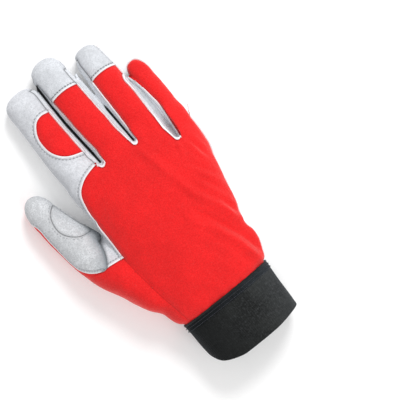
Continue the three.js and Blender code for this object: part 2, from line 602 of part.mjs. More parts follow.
const pieces = [
  { name: 'palm_panel', look: LEATHER, solid: cutAway(skin, [...strips, ...caps, knuckleCutter(GAP),
    backCutter(GAP), sideCutter(GAP), thumbCutter(GAP), thumbPatchCutter(GAP)]) },
  { name: 'back_panel', look: RED, solid: cutAway(skin.intersect(backCutter(0)), [...strips, ...caps]) },
  { name: 'knuckle_patch', look: RED, solid: cutAway(skin.intersect(knuckleCutter(0)), strips) },
  { name: 'thumb_panel', look: LEATHER,
    solid: cutAway(skin.intersect(thumbCutter(0)), [sideCutter(GAP), thumbPatchCutter(GAP)]) },
  { name: 'thumb_patch', look: LEATHER, solid: skin.intersect(thumbPatchCutter(0)) },
  { name: 'side_panel', look: RED,
    solid: cutAway(skin.intersect(sideCutter(0)), [backCutter(GAP), thumbPatchCutter(GAP)]) },
  { name: 'cuff', look: KNIT, solid: cuffBand(0, 1, 2, CUFF_WALL, 0).subtract(cuffEndCutter()) },
  { name: 'cuff_binding', look: KNIT,
    solid: cuffBand(1 - BINDING_WIDTH / CUFF_LENGTH, 1, 1, BINDING_HEIGHT, GAP + BINDING_HEIGHT) },
  { name: 'wrist_strap', look: KNIT, solid: wristStrap() },
  { name: 'strap_tab', look: RUBBER, solid: strapTab() },
];
for (const slit of SLITS) {
  const strip = skin.intersect(upright(slitStrip(slit, 0)));
  pieces.push({ name: 'fourchette_' + slit.name, look: LEATHER, solid: strip });
}
for (const cap of CAP_SEAMS) {
  const tip = cutAway(skin.intersect(capCutter(cap, 0)), strips);
  pieces.push({ name: cap.name + '_tip_cap', look: LEATHER, solid: tip });
}

// The panel itself, without the slivers that its cutters leave elsewhere on the skin.
function biggest(solid) {
  return solid.decompose().reduce((best, body) => (body.volume() > best.volume() ? body : best));
}

const glove = new THREE.Group();
for (const { name, look, solid } of pieces) {
  const { vertProperties, triVerts } = biggest(solid).getMesh();
  const geometry = new THREE.BufferGeometry();
  geometry.setAttribute('position', new THREE.BufferAttribute(vertProperties, 3));
  geometry.setIndex(new THREE.BufferAttribute(triVerts, 1));
  const piece = new THREE.Mesh(geometry, new THREE.MeshStandardMaterial(look));
  piece.name = name;
  glove.add(piece);
}

// The origin is under the middle of the glove, on the surface that it rests on.
const box = new THREE.Box3().setFromObject(glove);
const middle = box.getCenter(new THREE.Vector3());
glove.position.set(-middle.x, -middle.y, -box.min.z);
glove.updateMatrixWorld(true);

export default glove;
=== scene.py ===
# Mechanic glove: the visual model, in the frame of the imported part.
# Lengths are in millimetres until a mesh is made. As in the part's source, x runs across the hand
# (the thumb is at -x), y from the cuff's open end to the fingertips, and z = 0 is the surface.
import itertools
import math
from functools import partial

import bpy
import numpy as np
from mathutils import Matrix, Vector
from mathutils.bvhtree import BVHTree
from mathutils.kdtree import KDTree


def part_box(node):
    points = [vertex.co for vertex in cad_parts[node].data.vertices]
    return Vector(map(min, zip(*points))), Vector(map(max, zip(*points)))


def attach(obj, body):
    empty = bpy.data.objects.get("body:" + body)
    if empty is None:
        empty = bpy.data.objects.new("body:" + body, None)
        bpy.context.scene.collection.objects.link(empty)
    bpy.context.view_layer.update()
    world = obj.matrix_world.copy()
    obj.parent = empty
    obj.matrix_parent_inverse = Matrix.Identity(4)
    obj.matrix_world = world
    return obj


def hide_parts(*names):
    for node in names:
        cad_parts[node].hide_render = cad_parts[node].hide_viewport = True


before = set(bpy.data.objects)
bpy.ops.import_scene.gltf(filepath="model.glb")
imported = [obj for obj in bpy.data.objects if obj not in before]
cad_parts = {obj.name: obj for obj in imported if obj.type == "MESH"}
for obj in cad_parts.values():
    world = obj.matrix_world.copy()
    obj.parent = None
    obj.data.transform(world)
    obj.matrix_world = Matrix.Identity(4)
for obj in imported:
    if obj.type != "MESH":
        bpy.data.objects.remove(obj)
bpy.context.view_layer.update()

MM = 0.001

# Sizes, as in the part's source
CUFF_LENGTH, CUFF_WIDTH, CUFF_DEPTH, CUFF_WALL, CUFF_END_TILT = 41.0, 71.0, 36.0, 2.4, 5.0
CUFF_MIDDLE = 0.014 * CUFF_WIDTH
GAP = 0.3
CUFF_SEAM = CUFF_LENGTH + GAP
BINDING_WIDTH, BINDING_HEIGHT = 2.0, 0.8
PALM_LENGTH, PALM_WIDTH, PALM_DEPTH = 125.0, 99.0, 43.0
THUMB_START, THUMB_LENGTH, THUMB_SPREAD, THUMB_DEPTH = 10.0, 128.0, 74.2, 34.0
FINGER_LIFT, TIP_LENGTH = 5.0, 13.0
SLIT_WIDTH, STRIP_LEAST, CAP_TURN = 2.8, 5.0, 6.0
THUMB_CROTCH = 2.6
STRAP_LENGTH, STRAP_WIDTH, STRAP_BAND, STRAP_FOLD, STRAP_MARGIN = 59.0, 33.0, 1.2, 8.0, 1.0
TAB_LENGTH, TAB_WIDTH, TAB_THICKNESS, TAB_RIM, TAB_GROOVE = 50.5, 34.0, 1.4, 3.4, 0.5
BAND_LOW = TAB_THICKNESS + GAP
STRAP_TOP = BAND_LOW + STRAP_BAND
CUFF_FLOOR = STRAP_TOP + GAP
FAR = 300.0      # beyond the glove, in outlines seen from above
NO_SEAM = 12.0   # distances to seams are capped at this

GRID = 0.95   # spacing of the surface's vertices
SKIN = 1.3                           # thickness of leather and fabric
LEATHER_LIFT = 0.45                  # how far leather lies over the fabric beside it
FABRIC_DIP = 0.35                    # how far the fabric tucks down at a seam
PALM_END, PALM_OVERLAP = 14.0, 6.0   # how the palm's body rounds off, and how far it reaches over
# How softly bodies join: fingers, palm and fingers, thumb, floor, a slit's leather and its gap
FINGER_BLEND, PALM_BLEND, THUMB_BLEND, FLOOR_BLEND, STRIP_BLEND, GAP_BLEND = 1.0, 4.5, 3.0, 1.2, 0.8, 0.4
HAND_LOW, HAND_HIGH = (-78.0, CUFF_SEAM - 4 * GRID, -2.5 * GRID), (64.0, 253.0, 47.0)   # the grid's corners

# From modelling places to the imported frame
_low, _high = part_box("cuff")
SHIFT = np.array([(_low.x + _high.x) / 2 / MM - CUFF_MIDDLE, _high.y / MM - CUFF_LENGTH, 0.0])

# Sections: along, left, right, low, high, in shares of the sizes above
PALM_ROWS = np.array([
    [0.0, -0.362, 0.378, 0.07, 0.915], [0.05, -0.395, 0.416, 0.03, 0.955],
    [0.12, -0.42, 0.446, -0.03, 0.975], [0.18, -0.425, 0.45, -0.04, 0.98],
    [0.25, -0.43, 0.437, -0.04, 0.985], [0.36, -0.428, 0.486, -0.04, 1.0],
    [0.54, -0.414, 0.538, -0.02, 1.0], [0.68, -0.402, 0.575, 0.02, 0.97],
    [0.79, -0.392, 0.592, 0.08, 0.89], [0.91, -0.397, 0.606, 0.11, 0.78],
    [1.0, -0.397, 0.61, 0.12, 0.7]])
THUMB_ROWS = np.array([
    [0.0, -0.5, -0.36, 0.15, 0.8], [0.08, -0.616, -0.36, 0.05, 1.0],
    [0.23, -0.745, -0.38, 0.0, 1.04], [0.38, -0.872, -0.42, -0.03, 0.98],
    [0.53, -0.935, -0.52, -0.03, 0.88], [0.6, -0.957, -0.555, -0.03, 0.83],
    [0.68, -0.978, -0.604, -0.03, 0.78], [0.75, -0.992, -0.65, -0.03, 0.74],
    [0.83, -1.0, -0.694, -0.02, 0.7], [0.9, -0.998, -0.733, 0.0, 0.66]])
THUMB_DOME = 14.7
THUMB_DOME_START = CUFF_SEAM + THUMB_START + THUMB_LENGTH - THUMB_DOME
# A finger's lift and depth: along, lift, deep
FINGER_ROWS = np.array([
    [-0.35, 1.1, 1.0], [0.0, 1.05, 1.02], [0.35, 0.95, 0.97], [0.65, 0.5, 0.91],
    [0.85, -0.05, 0.86], [1.0, -0.12, 0.82]])


class Finger:
    def __init__(self, widths, places, root, tip, depth):
        self.widths, self.places, self.root, self.tip, self.depth = widths, places, root, tip, depth

    @staticmethod
    def parabola(values, t):
        root, middle, tip = values
        s = np.maximum(t, 0)
        return root * (1 - s) * (1 - 2 * s) + 4 * middle * s * (1 - s) + tip * s * (2 * s - 1)

    def section(self, y):
        t = np.clip((y - self.root) / (self.tip - self.root), -0.3, 1)
        width = self.parabola(self.widths, t)
        x = self.parabola(self.places, t)
        depth = self.depth * follow(FINGER_ROWS, 2, t)
        low = FINGER_LIFT * follow(FINGER_ROWS, 1, t)
        return x - width / 2, x + width / 2, low, low + depth

    def shrink(self, y):
        """How much narrower the finger gets in its rounded tip."""
        dome = np.clip((y - self.tip + TIP_LENGTH) / TIP_LENGTH, 0, 0.995)
        return (1 - dome ** 2.5) ** 0.4

    def edges(self, y):
        left, right, _, _ = self.section(y)
        middle, half = (left + right) / 2, (right - left) / 2 * self.shrink(y)
        return middle - half, middle + half


INDEX = Finger((29.2, 28.2, 27.2), (-24.7, -25.5, -25.9), 166.0, 243.0, 24.0)
MIDDLE = Finger((24.4, 26.4, 23.8), (5.2, 2.7, 1.0), 166.0, 250.0, 24.5)
RING = Finger((23.6, 22.8, 21.0), (31.6, 31.5, 30.9), 164.0, 239.3, 22.5)
LITTLE = Finger((15.6, 14.6, 15.0), (52.3, 53.2, 52.0), 150.0, 210.4, 18.5)
FINGERS = [INDEX, MIDDLE, RING, LITTLE]
SLITS = {"index_middle": (INDEX, MIDDLE, -8.5, 165.5), "middle_ring": (MIDDLE, RING, 19.1, 162.8),
         "ring_little": (RING, LITTLE, 44.2, 147.2)}
# Between two fingers, from the slit's lowest point (0) to the shorter finger's tip (1): half the open
# gap (under 0: closed), half the width and the depth of the trough, and how far the leather strip
# reaches onto the left and the right finger
BETWEEN = {
    "index_middle": np.array([
        [0.0, -1.0, 2.3, 3.5, 0.9, 0.9], [0.15, -1.0, 3.7, 6.5, 2.5, 2.4], [0.6, -1.0, 3.7, 6.5, 2.6, 2.6],
        [0.85, -0.6, 3.2, 6.0, 2.4, 2.2], [1.0, 0.4, 2.6, 4.0, 2.0, 1.6]]),
    "middle_ring": np.array([
        [0.0, -1.0, 2.1, 3.0, 0.8, 0.8], [0.2, -1.0, 3.4, 6.0, 2.3, 1.6], [0.5, -0.6, 4.2, 8.0, 2.4, 2.1],
        [0.8, 1.2, 4.6, 9.0, 2.2, 2.2], [1.0, 2.2, 4.6, 9.0, 1.6, 1.4]]),
    "ring_little": np.array([
        [0.0, -1.0, 2.3, 2.5, 1.1, 1.4], [0.14, -1.0, 3.6, 4.2, 3.1, 2.3], [0.3, -1.0, 4.0, 4.8, 2.9, 3.0],
        [0.48, -1.0, 3.9, 4.8, 2.5, 2.6], [0.65, -1.0, 3.3, 4.2, 1.9, 1.6], [0.78, -0.9, 2.6, 3.4, 2.0, 0.5],
        [0.86, -0.7, 1.9, 2.6, 2.3, -1.0], [0.93, -0.5, 1.5, 2.2, 0.8, -2.5]])}
LEAN = {"index_middle": 0.0, "middle_ring": 0.2, "ring_little": 0.8}   # how far a valley lies to the left
EDGE_HEIGHT = 0.64   # of a finger's half depth, where the strip's seams run

# Seams seen from above: shares across and along, as in the part's source. The thumb's edge on top
# runs up to 0.4 mm beside the source's, and 1 mm at the tip, where the photo shows it.
BACK_SEAM = [(-0.295, -0.08), (-0.3, 0.01), (-0.333, 0.18), (-0.362, 0.35), (-0.38, 0.51), (-0.38, 0.63),
             (-0.376, 0.76), (-0.366, 0.85), (-0.333, 0.93), (-0.262, 0.976), (-0.19, 0.998), (-0.09, 1.015)]
THUMB_EDGE_TOP = [(-1.04, 1.03), (-0.98, 0.95), (-0.969, 0.84), (-0.944, 0.705), (-0.906, 0.612),
                  (-0.833, 0.552), (-0.736, 0.522), (-0.685, 0.524)]
THUMB_EDGE_PALM = [(-0.862, 1.14), (-0.885, 1.05), (-0.908, 0.98), (-0.906, 0.86), (-0.878, 0.7),
                   (-0.815, 0.56), (-0.735, 0.45), (-0.63, 0.34), (-0.5, 0.17), (-0.33, 0.0), (-0.3, -0.08)]
THUMB_ROOT_TOP = [(-0.52, 0.76), (-0.552, 0.69), (-0.585, 0.63), (-0.64, 0.565), (-0.685, 0.524)]
THUMB_ROOT_PALM = [(-0.52, 0.76), (-0.55, 0.69), (-0.6, 0.6), (-0.69, 0.5), (-0.78, 0.45)]
THUMB_PATCH = [(-0.66, 1.03), (-0.738, 0.985), (-0.8, 0.945), (-0.832, 0.885), (-0.82, 0.83),
               (-0.76, 0.782), (-0.676, 0.75), (-0.55, 0.75)]
KNUCKLE_PATCH = [(-0.125, 1.41), (-0.157, 1.41), (-0.21, 1.415), (-0.267, 1.397), (-0.314, 1.345),
                 (-0.328, 1.29), (-0.318, 1.23), (-0.285, 1.178), (-0.228, 1.137), (-0.131, 1.11),
                 (-0.12, 1.11)]
CUFF_END = [(-0.56, 0.55), (-0.49, 0.38), (-0.44, 0.21), (-0.37, 0.11), (-0.2, 0.02), (0.0, 0.0),
            (0.25, 0.02), (0.42, 0.06), (0.56, 0.1)]
# Height of the side seams: along the hand, high in shares of PALM_DEPTH
LITTLE_EDGE_ROWS = np.array([[-0.3, 0.49], [0.3, 0.49], [0.5, 0.42], [0.66, 0.26], [0.8, 0.2], [1.2, 0.2]])
INNER_ROWS = np.array([[-0.3, 0.3], [0.305, 0.3], [0.37, 0.45], [0.55, 0.45], [0.6, 0.41], [0.8, 0.353],
                       [0.95, 0.25], [1.2, 0.22]])
CAP_SEAMS = {"middle": (MIDDLE, 30.2, 1.8), "ring": (RING, 25.3, 1.6)}

# Folds: side, from x, from y, to x, to y (shares of the palm), half width and depth in mm.
# A depth under 0 is a ridge.
FOLDS = [
    # The long fold from the ring finger down to the little finger's side of the wrist
    (1, 0.174, 0.946, 0.256, 0.658, 4.5, -0.9), (1, 0.256, 0.658, 0.291, 0.537, 4.0, -1.1),
    (1, 0.291, 0.537, 0.378, 0.399, 4.0, -1.4), (1, 0.378, 0.399, 0.44, 0.24, 4.0, -1.5),
    (1, 0.22, 0.57, 0.22, 0.44, 6.0, 0.9), (1, 0.215, 0.46, 0.31, 0.32, 5.5, 1.6),
    (1, 0.3, 0.33, 0.379, 0.2, 5.0, 1.9), (1, 0.379, 0.21, 0.41, 0.07, 4.6, 1.8),
    (1, 0.245, 0.358, 0.305, 0.194, 5.0, -1.1), (1, 0.305, 0.2, 0.364, 0.02, 4.5, -1.5),
    # Short wrinkles on the edge below the little finger
    (1, 0.505, 0.78, 0.535, 0.642, 3.0, 0.7), (1, 0.485, 0.77, 0.5, 0.67, 2.6, -0.5),
    (1, 0.391, 0.59, 0.473, 0.447, 3.2, 0.7), (1, 0.4, 0.62, 0.5, 0.5, 3.0, -0.5),
    (1, 0.414, 0.412, 0.455, 0.296, 3.0, 0.9), (1, 0.424, 0.822, 0.406, 0.761, 2.6, -0.6),
    (1, 0.389, 0.699, 0.48, 0.587, 3.0, 0.5), (1, 0.46, 0.36, 0.44, 0.27, 2.4, -0.6),
    # Broad softness on the back
    (1, -0.16, 0.24, 0.02, 0.05, 9.0, -0.5), (1, -0.2, 0.25, -0.1, 0.03, 8.0, 0.35),
    (1, -0.36, 0.7, -0.22, 0.84, 8.0, 0.4), (1, 0.05, 0.3, 0.3, 0.08, 9.0, 0.45),
    (1, -0.1, 0.95, 0.02, 0.6, 11.0, 0.35), (1, 0.0, 0.62, 0.1, 0.3, 10.0, 0.35),
    # The palm
    (-1, -0.38, 0.66, -0.08, 0.74, 7.5, 1.8), (-1, -0.36, 0.6, -0.02, 0.5, 7.0, 1.4),
    (-1, -0.34, 0.52, -0.1, 0.3, 6.5, 1.0), (-1, 0.3, 0.78, 0.56, 0.72, 6.5, 1.1),
    (-1, -0.3, 0.9, 0.1, 0.86, 7.0, 0.9), (-1, 0.1, 0.86, 0.5, 0.8, 7.0, 0.9)]


def follow(table, column, place):
    """A smooth curve through a table: the values of one column at places in its first."""
    along, values = table[:, 0], table[:, column]
    place = np.clip(place, along[0], along[-1])
    i = np.clip(np.searchsorted(along, place, side="right") - 1, 0, len(along) - 2)
    before, after = np.maximum(i - 1, 0), np.minimum(i + 2, len(along) - 1)
    step = along[i + 1] - along[i]
    start = (values[i + 1] - values[before]) / (along[i + 1] - along[before]) * step
    end = (values[after] - values[i]) / (along[after] - along[i]) * step
    t = (place - along[i]) / step
    return (values[i] * (1 + 2 * t) * (1 - t) ** 2 + start * t * (1 - t) ** 2
            + values[i + 1] * t * t * (3 - 2 * t) + end * t * t * (t - 1))


def smooth_line(shares, width, start, length, spacing=1.5):
    """A Catmull-Rom line through a seam table, in mm, with even spacing."""
    knots = np.array(shares) * [width, length] + [0, start]
    padded = np.vstack([2 * knots[0] - knots[1], knots, 2 * knots[-1] - knots[-2]])
    t = np.linspace(0, 1, 12, endpoint=False)[:, None]
    points = []
    for a, b, c, d in zip(padded, padded[1:], padded[2:], padded[3:]):
        points.append(0.5 * (2 * b + (c - a) * t + (2 * a - 5 * b + 4 * c - d) * t ** 2
                             + (3 * b - a - 3 * c + d) * t ** 3))
    line = np.vstack(points + [knots[-1:]])
    return resample(line, spacing)


def lengths_along(line):
    return np.concatenate([[0], np.cumsum(np.linalg.norm(np.diff(line, axis=0), axis=1))])


def along_line(line, places):
    """Points on a line at lengths from its start."""
    lengths = lengths_along(line)
    return np.stack([np.interp(places, lengths, column) for column in line.T], axis=1)


def resample(line, spacing):
    line = np.asarray(line, float)
    whole = lengths_along(line)[-1]
    return along_line(line, np.linspace(0, whole, max(2, int(round(whole / spacing)) + 1)))


def unit(vectors):
    return vectors / np.maximum(np.linalg.norm(vectors, axis=-1, keepdims=True), 1e-12)


def bell(distance, width):
    """1 at distance 0, falling off smoothly to both sides."""
    return np.exp(-(distance / width) ** 2)


def seam(shares, width=PALM_WIDTH):
    return smooth_line(shares, width, CUFF_SEAM, PALM_LENGTH)


def to_segment(x, y, start, end):
    """Distance to a segment seen from above, and the share along it of the nearest place."""
    (ax, ay), (ex, ey) = start, np.subtract(end, start)
    t = np.clip(((x - ax) * ex + (y - ay) * ey) / (ex * ex + ey * ey + 1e-12), 0, 1)
    return np.hypot(x - ax - t * ex, y - ay - t * ey), t


def within(x, y, outline):
    """Signed distance to a closed outline seen from above: over 0 inside it."""
    outline = np.asarray(outline, float)
    nearest = np.full(x.shape, 1e9)
    crossings = np.zeros(x.shape, int)
    for (ax, ay), (bx, by) in zip(outline, np.roll(outline, -1, axis=0)):
        nearest = np.minimum(nearest, to_segment(x, y, (ax, ay), (bx, by))[0])
        if ay != by:
            crossings += ((ay > y) != (by > y)) & (x < ax + (y - ay) * (bx - ax) / (by - ay))
    return np.where(crossings % 2 == 1, nearest, -nearest)


def softer_min(a, b, size):
    h = np.clip(0.5 + 0.5 * (b - a) / size, 0, 1)
    return b * (1 - h) + a * h - size * h * (1 - h)


def section_in(rows, share, width, depth):
    return [follow(rows, k, share) * size for k, size in ((1, width), (2, width), (3, depth), (4, depth))]


def tube(x, z, section, upper, lower, end, reach, power):
    """Rough distance to a body with oval sections. end is how far y is into its rounded ends."""
    left, right, low, high = section
    middle_x, wide = (left + right) / 2, (right - left) / 2
    middle_z, deep = (low + high) / 2, (high - low) / 2
    square = np.where(z >= middle_z, upper, lower)
    u = np.abs(x - middle_x) / wide + 1e-5
    v = np.abs(z - middle_z) / deep + 1e-5
    across = (u ** square + v ** square) ** (1 / square)
    whole = (across ** power + end ** power) ** (1 / power)
    sideways = (across / whole) ** (power - 1)
    slope = np.sqrt((sideways * (u / across) ** (square - 1) / wide) ** 2
                    + (sideways * (v / across) ** (square - 1) / deep) ** 2
                    + ((end / whole) ** (power - 1) / reach) ** 2)
    return (whole - 1) / slope


def palm_field(x, y, z):
    section = section_in(PALM_ROWS, (y - CUFF_SEAM) / PALM_LENGTH, PALM_WIDTH, PALM_DEPTH)
    over = (np.maximum(0, y - CUFF_SEAM - PALM_LENGTH + PALM_OVERLAP)
            + np.maximum(0, CUFF_SEAM - PALM_OVERLAP - y))
    return tube(x, z, section, 2.2, 3.0, over / PALM_END, PALM_END, 2.5)


def thumb_field(x, y, z):
    start = CUFF_SEAM + THUMB_START
    section = section_in(THUMB_ROWS, (y - start) / THUMB_LENGTH, THUMB_SPREAD, THUMB_DEPTH)
    over = np.maximum(0, y - THUMB_DOME_START) + np.maximum(0, start + 15 - y)
    return tube(x, z, section, 2.1, 2.6, over / THUMB_DOME, THUMB_DOME, 2.1)


def finger_field(finger, x, y, z):
    end = np.maximum(0, y - finger.tip + TIP_LENGTH) / TIP_LENGTH + np.maximum(0, finger.root - 8 - y) / 20
    return tube(x, z, finger.section(y), 2.15, 2.5, end, TIP_LENGTH, 2.5)


def slit_line(name):
    left, right, x, y = SLITS[name]
    top = (y + min(left.tip, right.tip)) / 2
    between = (left.edges(top)[1] + right.edges(top)[0]) / 2
    return np.array([[x, y + SLIT_WIDTH / 2], [between, top], [between, FAR]])


def from_slit(name, x, y):
    """Distance to a slit's middle line seen from above, and the share along it."""
    line = slit_line(name)
    distance = np.minimum(*[to_segment(x, y, a, b)[0] for a, b in zip(line, line[1:])])
    left, right, _, low = SLITS[name]
    return distance, np.clip((y - low) / (min(left.tip, right.tip) - low), 0, 1)


def trough(name, field, x, y, z):
    """Joins two fingers by the leather that is folded between them, and cuts the gap in its middle."""
    left, right, _, low = SLITS[name]
    away, share = from_slit(name, x, y)
    gap, half, deep = [follow(BETWEEN[name], k, share) for k in (1, 2, 3)]
    middle, top = 0, 0
    for finger in (left, right):
        _, _, bottom, high = finger.section(y)
        middle = middle + (bottom + high) / 4
        top = top + (high - bottom) / 4 * finger.shrink(y) * EDGE_HEIGHT
    root = 3.0 * np.clip(1 - (y - low) / 9, 0, 1)
    line = slit_line(name)
    half = half + LEAN[name] * np.clip(x - np.interp(y, line[:, 1], line[:, 0]), -1, 1)
    slope = deep / half
    level = np.sqrt(1 + slope ** 2)
    round_away = np.sqrt(away ** 2 + 0.8) - 0.45
    over = (middle + top + root - deep + slope * round_away - z) / level
    under = (z - middle + top - 0.8 * deep + slope * round_away) / level
    end = min(left.tip, right.tip) - 7.0
    narrow = half * np.clip((end - y) / 20, 0, 1) ** 0.5
    web = -np.minimum(np.minimum(over, under), np.minimum(narrow - away, end - y))
    field = softer_min(field, web, STRIP_BLEND)
    field = -softer_min(-field, np.maximum(over, away - half), STRIP_BLEND)
    return -softer_min(-field, away - gap, GAP_BLEND)


def hand_field(x, y, z):
    """Under 0 inside the hand's outer form."""
    fingers = finger_field(INDEX, x, y, z)
    for finger in FINGERS[1:]:
        fingers = softer_min(fingers, finger_field(finger, x, y, z), FINGER_BLEND)
    field = softer_min(palm_field(x, y, z), fingers, PALM_BLEND)
    for name in SLITS:
        field = trough(name, field, x, y, z)
    field = softer_min(field, thumb_field(x, y, z), THUMB_BLEND)
    return -softer_min(-field, z, FLOOR_BLEND)


def surface_net(field, low, step):
    """Vertices and quads on the zero surface of a grid of values."""
    sizes = np.array(field.shape)
    cells = sizes - 1
    total = np.zeros((*cells, 3), np.float32)
    count = np.zeros(cells, np.float32)

    def corner(offset):
        return field[tuple(slice(o, o + c) for o, c in zip(offset, cells))]

    for axis in range(3):
        others = [k for k in range(3) if k != axis]
        for first, second in itertools.product((0, 1), repeat=2):
            offset = [0, 0, 0]
            offset[others[0]], offset[others[1]] = first, second
            a = corner(offset)
            offset[axis] = 1
            b = corner(offset)
            crossed = (a < 0) != (b < 0)
            t = np.where(crossed, a / np.where(crossed, a - b, 1), 0)
            total[..., axis] += t
            total[..., others[0]] += first * crossed
            total[..., others[1]] += second * crossed
            count += crossed
    used = count > 0
    number = np.full(cells, -1)
    number[used] = np.arange(used.sum())
    verts = (np.argwhere(used) + total[used] / count[used][:, None]) * step + low
    quads = []
    for axis in range(3):
        b, c = (axis + 1) % 3, (axis + 2) % 3
        lower = [slice(1, n - 1) for n in sizes]
        lower[axis] = slice(0, sizes[axis] - 1)
        upper = list(lower)
        upper[axis] = slice(1, sizes[axis])
        inside = field[tuple(lower)] < 0
        flips = inside != (field[tuple(upper)] < 0)
        at = np.argwhere(flips) + [0 if k == axis else 1 for k in range(3)]
        unit_b, unit_c = np.eye(3, dtype=int)[b], np.eye(3, dtype=int)[c]
        ring = [at - unit_b - unit_c, at - unit_c, at, at - unit_b]
        faces = np.stack([number[tuple(r.T)] for r in ring], axis=1)
        turned = ~inside[flips]
        faces[turned] = faces[turned][:, ::-1]
        quads.append(faces)
    return verts, np.vstack(quads)


def gradient(field, points, step=0.15):
    slopes = []
    for k in range(3):
        move = np.zeros(3)
        move[k] = step
        slopes.append(field(*(points + move).T) - field(*(points - move).T))
    return np.stack(slopes, axis=1) / (2 * step)


def onto(field, points, rounds):
    """Moves points to where the field is 0."""
    for _ in range(rounds):
        slope = gradient(field, points)
        size = np.maximum((slope ** 2).sum(1), 0.05)
        move = -(field(*points.T) / size)[:, None] * slope
        length = np.linalg.norm(move, axis=1)[:, None]
        points = points + move * np.minimum(1, 1.0 / np.maximum(length, 1e-9))
    return points


def hand_surface():
    """The whole outer surface: even triangles that lie on the hand's form."""
    axes = [np.arange(a, b, GRID) for a, b in zip(HAND_LOW, HAND_HIGH)]
    field = hand_field(*np.meshgrid(*axes, indexing="ij")).astype(np.float32)
    verts, quads = surface_net(field, HAND_LOW, GRID)
    verts = onto(hand_field, verts, 2)
    edges = np.vstack([quads[:, [k, (k + 1) % 4]] for k in range(4)])
    for _ in range(4):
        total = np.zeros_like(verts)
        for k in range(3):
            total[:, k] = np.bincount(edges[:, 0], verts[edges[:, 1], k], len(verts))
        count = np.bincount(edges[:, 0], minlength=len(verts))[:, None]
        verts = onto(hand_field, 0.4 * verts + 0.6 * total / np.maximum(count, 1), 1)
    verts = onto(hand_field, verts, 2)
    tris = np.vstack([quads[:, [0, 1, 2]], quads[:, [0, 2, 3]]])
    return verts, tris


def split(verts, tris, value):
    """Cuts triangles where a value at the vertices is 0. Returns verts, those over 0, those under."""
    value = np.where(np.abs(value) < 1e-3, 1e-3, value)
    inside = value > 0
    corners = inside[tris]
    whole_in, whole_out = corners.all(1), ~corners.any(1)
    mixed = tris[~whole_in & ~whole_out]
    ins = inside[mixed]
    # Turn each mixed triangle so that its odd corner comes first
    odd = np.where(ins.sum(1) == 1, ins.argmax(1), (~ins).argmax(1))
    turned = np.stack([mixed[np.arange(len(mixed)), (odd + k) % 3] for k in range(3)], axis=1)
    a, b, c = turned.T
    pairs = np.sort(np.vstack([np.stack([a, b], 1), np.stack([a, c], 1)]), axis=1)
    unique, index = np.unique(pairs, axis=0, return_inverse=True)
    index = index.ravel()
    va, vb = value[unique[:, 0]], value[unique[:, 1]]
    t = (va / (va - vb))[:, None]
    added = verts[unique[:, 0]] * (1 - t) + verts[unique[:, 1]] * t
    ab, ac = index[:len(a)] + len(verts), index[len(a):] + len(verts)
    verts = np.vstack([verts, added])
    tip = np.stack([a, ab, ac], 1)
    base = np.vstack([np.stack([ab, b, c], 1), np.stack([ab, c, ac], 1)])
    tip_in = inside[a]
    base_in = np.concatenate([tip_in, tip_in])
    over = np.vstack([tris[whole_in], tip[tip_in], base[~base_in]])
    under = np.vstack([tris[whole_out], tip[~tip_in], base[base_in]])
    return verts, over, under


# Regions of the panels: a value for each point, over 0 where the point belongs to the panel
def side_height(x, y):
    share = (y - CUFF_SEAM) / (MIDDLE.tip - CUFF_SEAM)
    _, _, last_x, last_y = SLITS["ring_little"]
    inner = (x < 0) | ((x < last_x) & (y > last_y))
    return np.where(inner, follow(INNER_ROWS, 1, share), follow(LITTLE_EDGE_ROWS, 1, share)) * PALM_DEPTH


def thumb_height(y):
    share = (y - CUFF_SEAM - THUMB_START) / THUMB_LENGTH
    return sum(follow(THUMB_ROWS, k, share) for k in (3, 4)) / 2 * THUMB_DEPTH


def strip_region(name, x, y, z):
    left, right, slit_x, slit_y = SLITS[name]
    rows = BETWEEN[name]
    low, tip, radius = slit_y - 2.6, min(left.tip, right.tip), 2.1
    angles = np.pi * (1 + np.linspace(0, 1, 13))
    bottom = np.stack([slit_x + radius * np.cos(angles), low + radius * (1 + np.sin(angles))], 1)
    ys = np.linspace(low + 13, tip - STRIP_LEAST, 40)
    share = (ys - slit_y) / (tip - slit_y)
    right_side = np.stack([right.edges(ys)[0] + follow(rows, 5, share), ys], 1)
    left_side = np.stack([left.edges(ys)[1] - follow(rows, 4, share), ys], 1)
    return within(x, y, np.vstack([bottom, right_side, left_side[::-1]]))


def cap_region(name, x, y, z):
    finger, from_tip, rise = CAP_SEAMS[name]
    half = finger.widths[2] / 2 + 1.2
    middle = finger.places[2]
    s = (x - middle) / half
    back = np.minimum(y - (finger.tip - from_tip + rise * (1 - s * s)), z - side_height(x, y))
    turn = y - (finger.tip - CAP_TURN)
    return np.minimum(np.maximum(back, turn), half + 2 - np.abs(x - middle))


def knuckle_region(x, y, z):
    return np.minimum(within(x, y, seam(KNUCKLE_PATCH)), z - side_height(x, y))


def back_region(x, y, z):
    _, _, slit_x, slit_y = SLITS["index_middle"]
    beside = MIDDLE.edges(CUFF_SEAM + 1.5 * PALM_LENGTH)[0] - 1
    line = seam(BACK_SEAM)
    rest = [[slit_x, slit_y + 2 * SLIT_WIDTH], [beside, FAR], [FAR, FAR], [FAR, line[0][1]]]
    return np.minimum(within(x, y, np.vstack([line, rest])), z - side_height(x, y))


def side_region(x, y, z):
    edge = seam(THUMB_EDGE_TOP, THUMB_SPREAD)
    down = seam(BACK_SEAM[:5])[::-1]
    top = within(x, y, np.vstack([edge, down, [[-FAR, down[-1][1]], [-FAR, edge[0][1]]]]))
    under = seam(THUMB_EDGE_PALM, THUMB_SPREAD)
    palm = within(x, y, np.vstack([under, [[-FAR, under[-1][1]], [-FAR, under[0][1]]]]))
    over = z - thumb_height(y)
    return np.maximum(np.minimum(top, over), np.minimum(palm, -over))


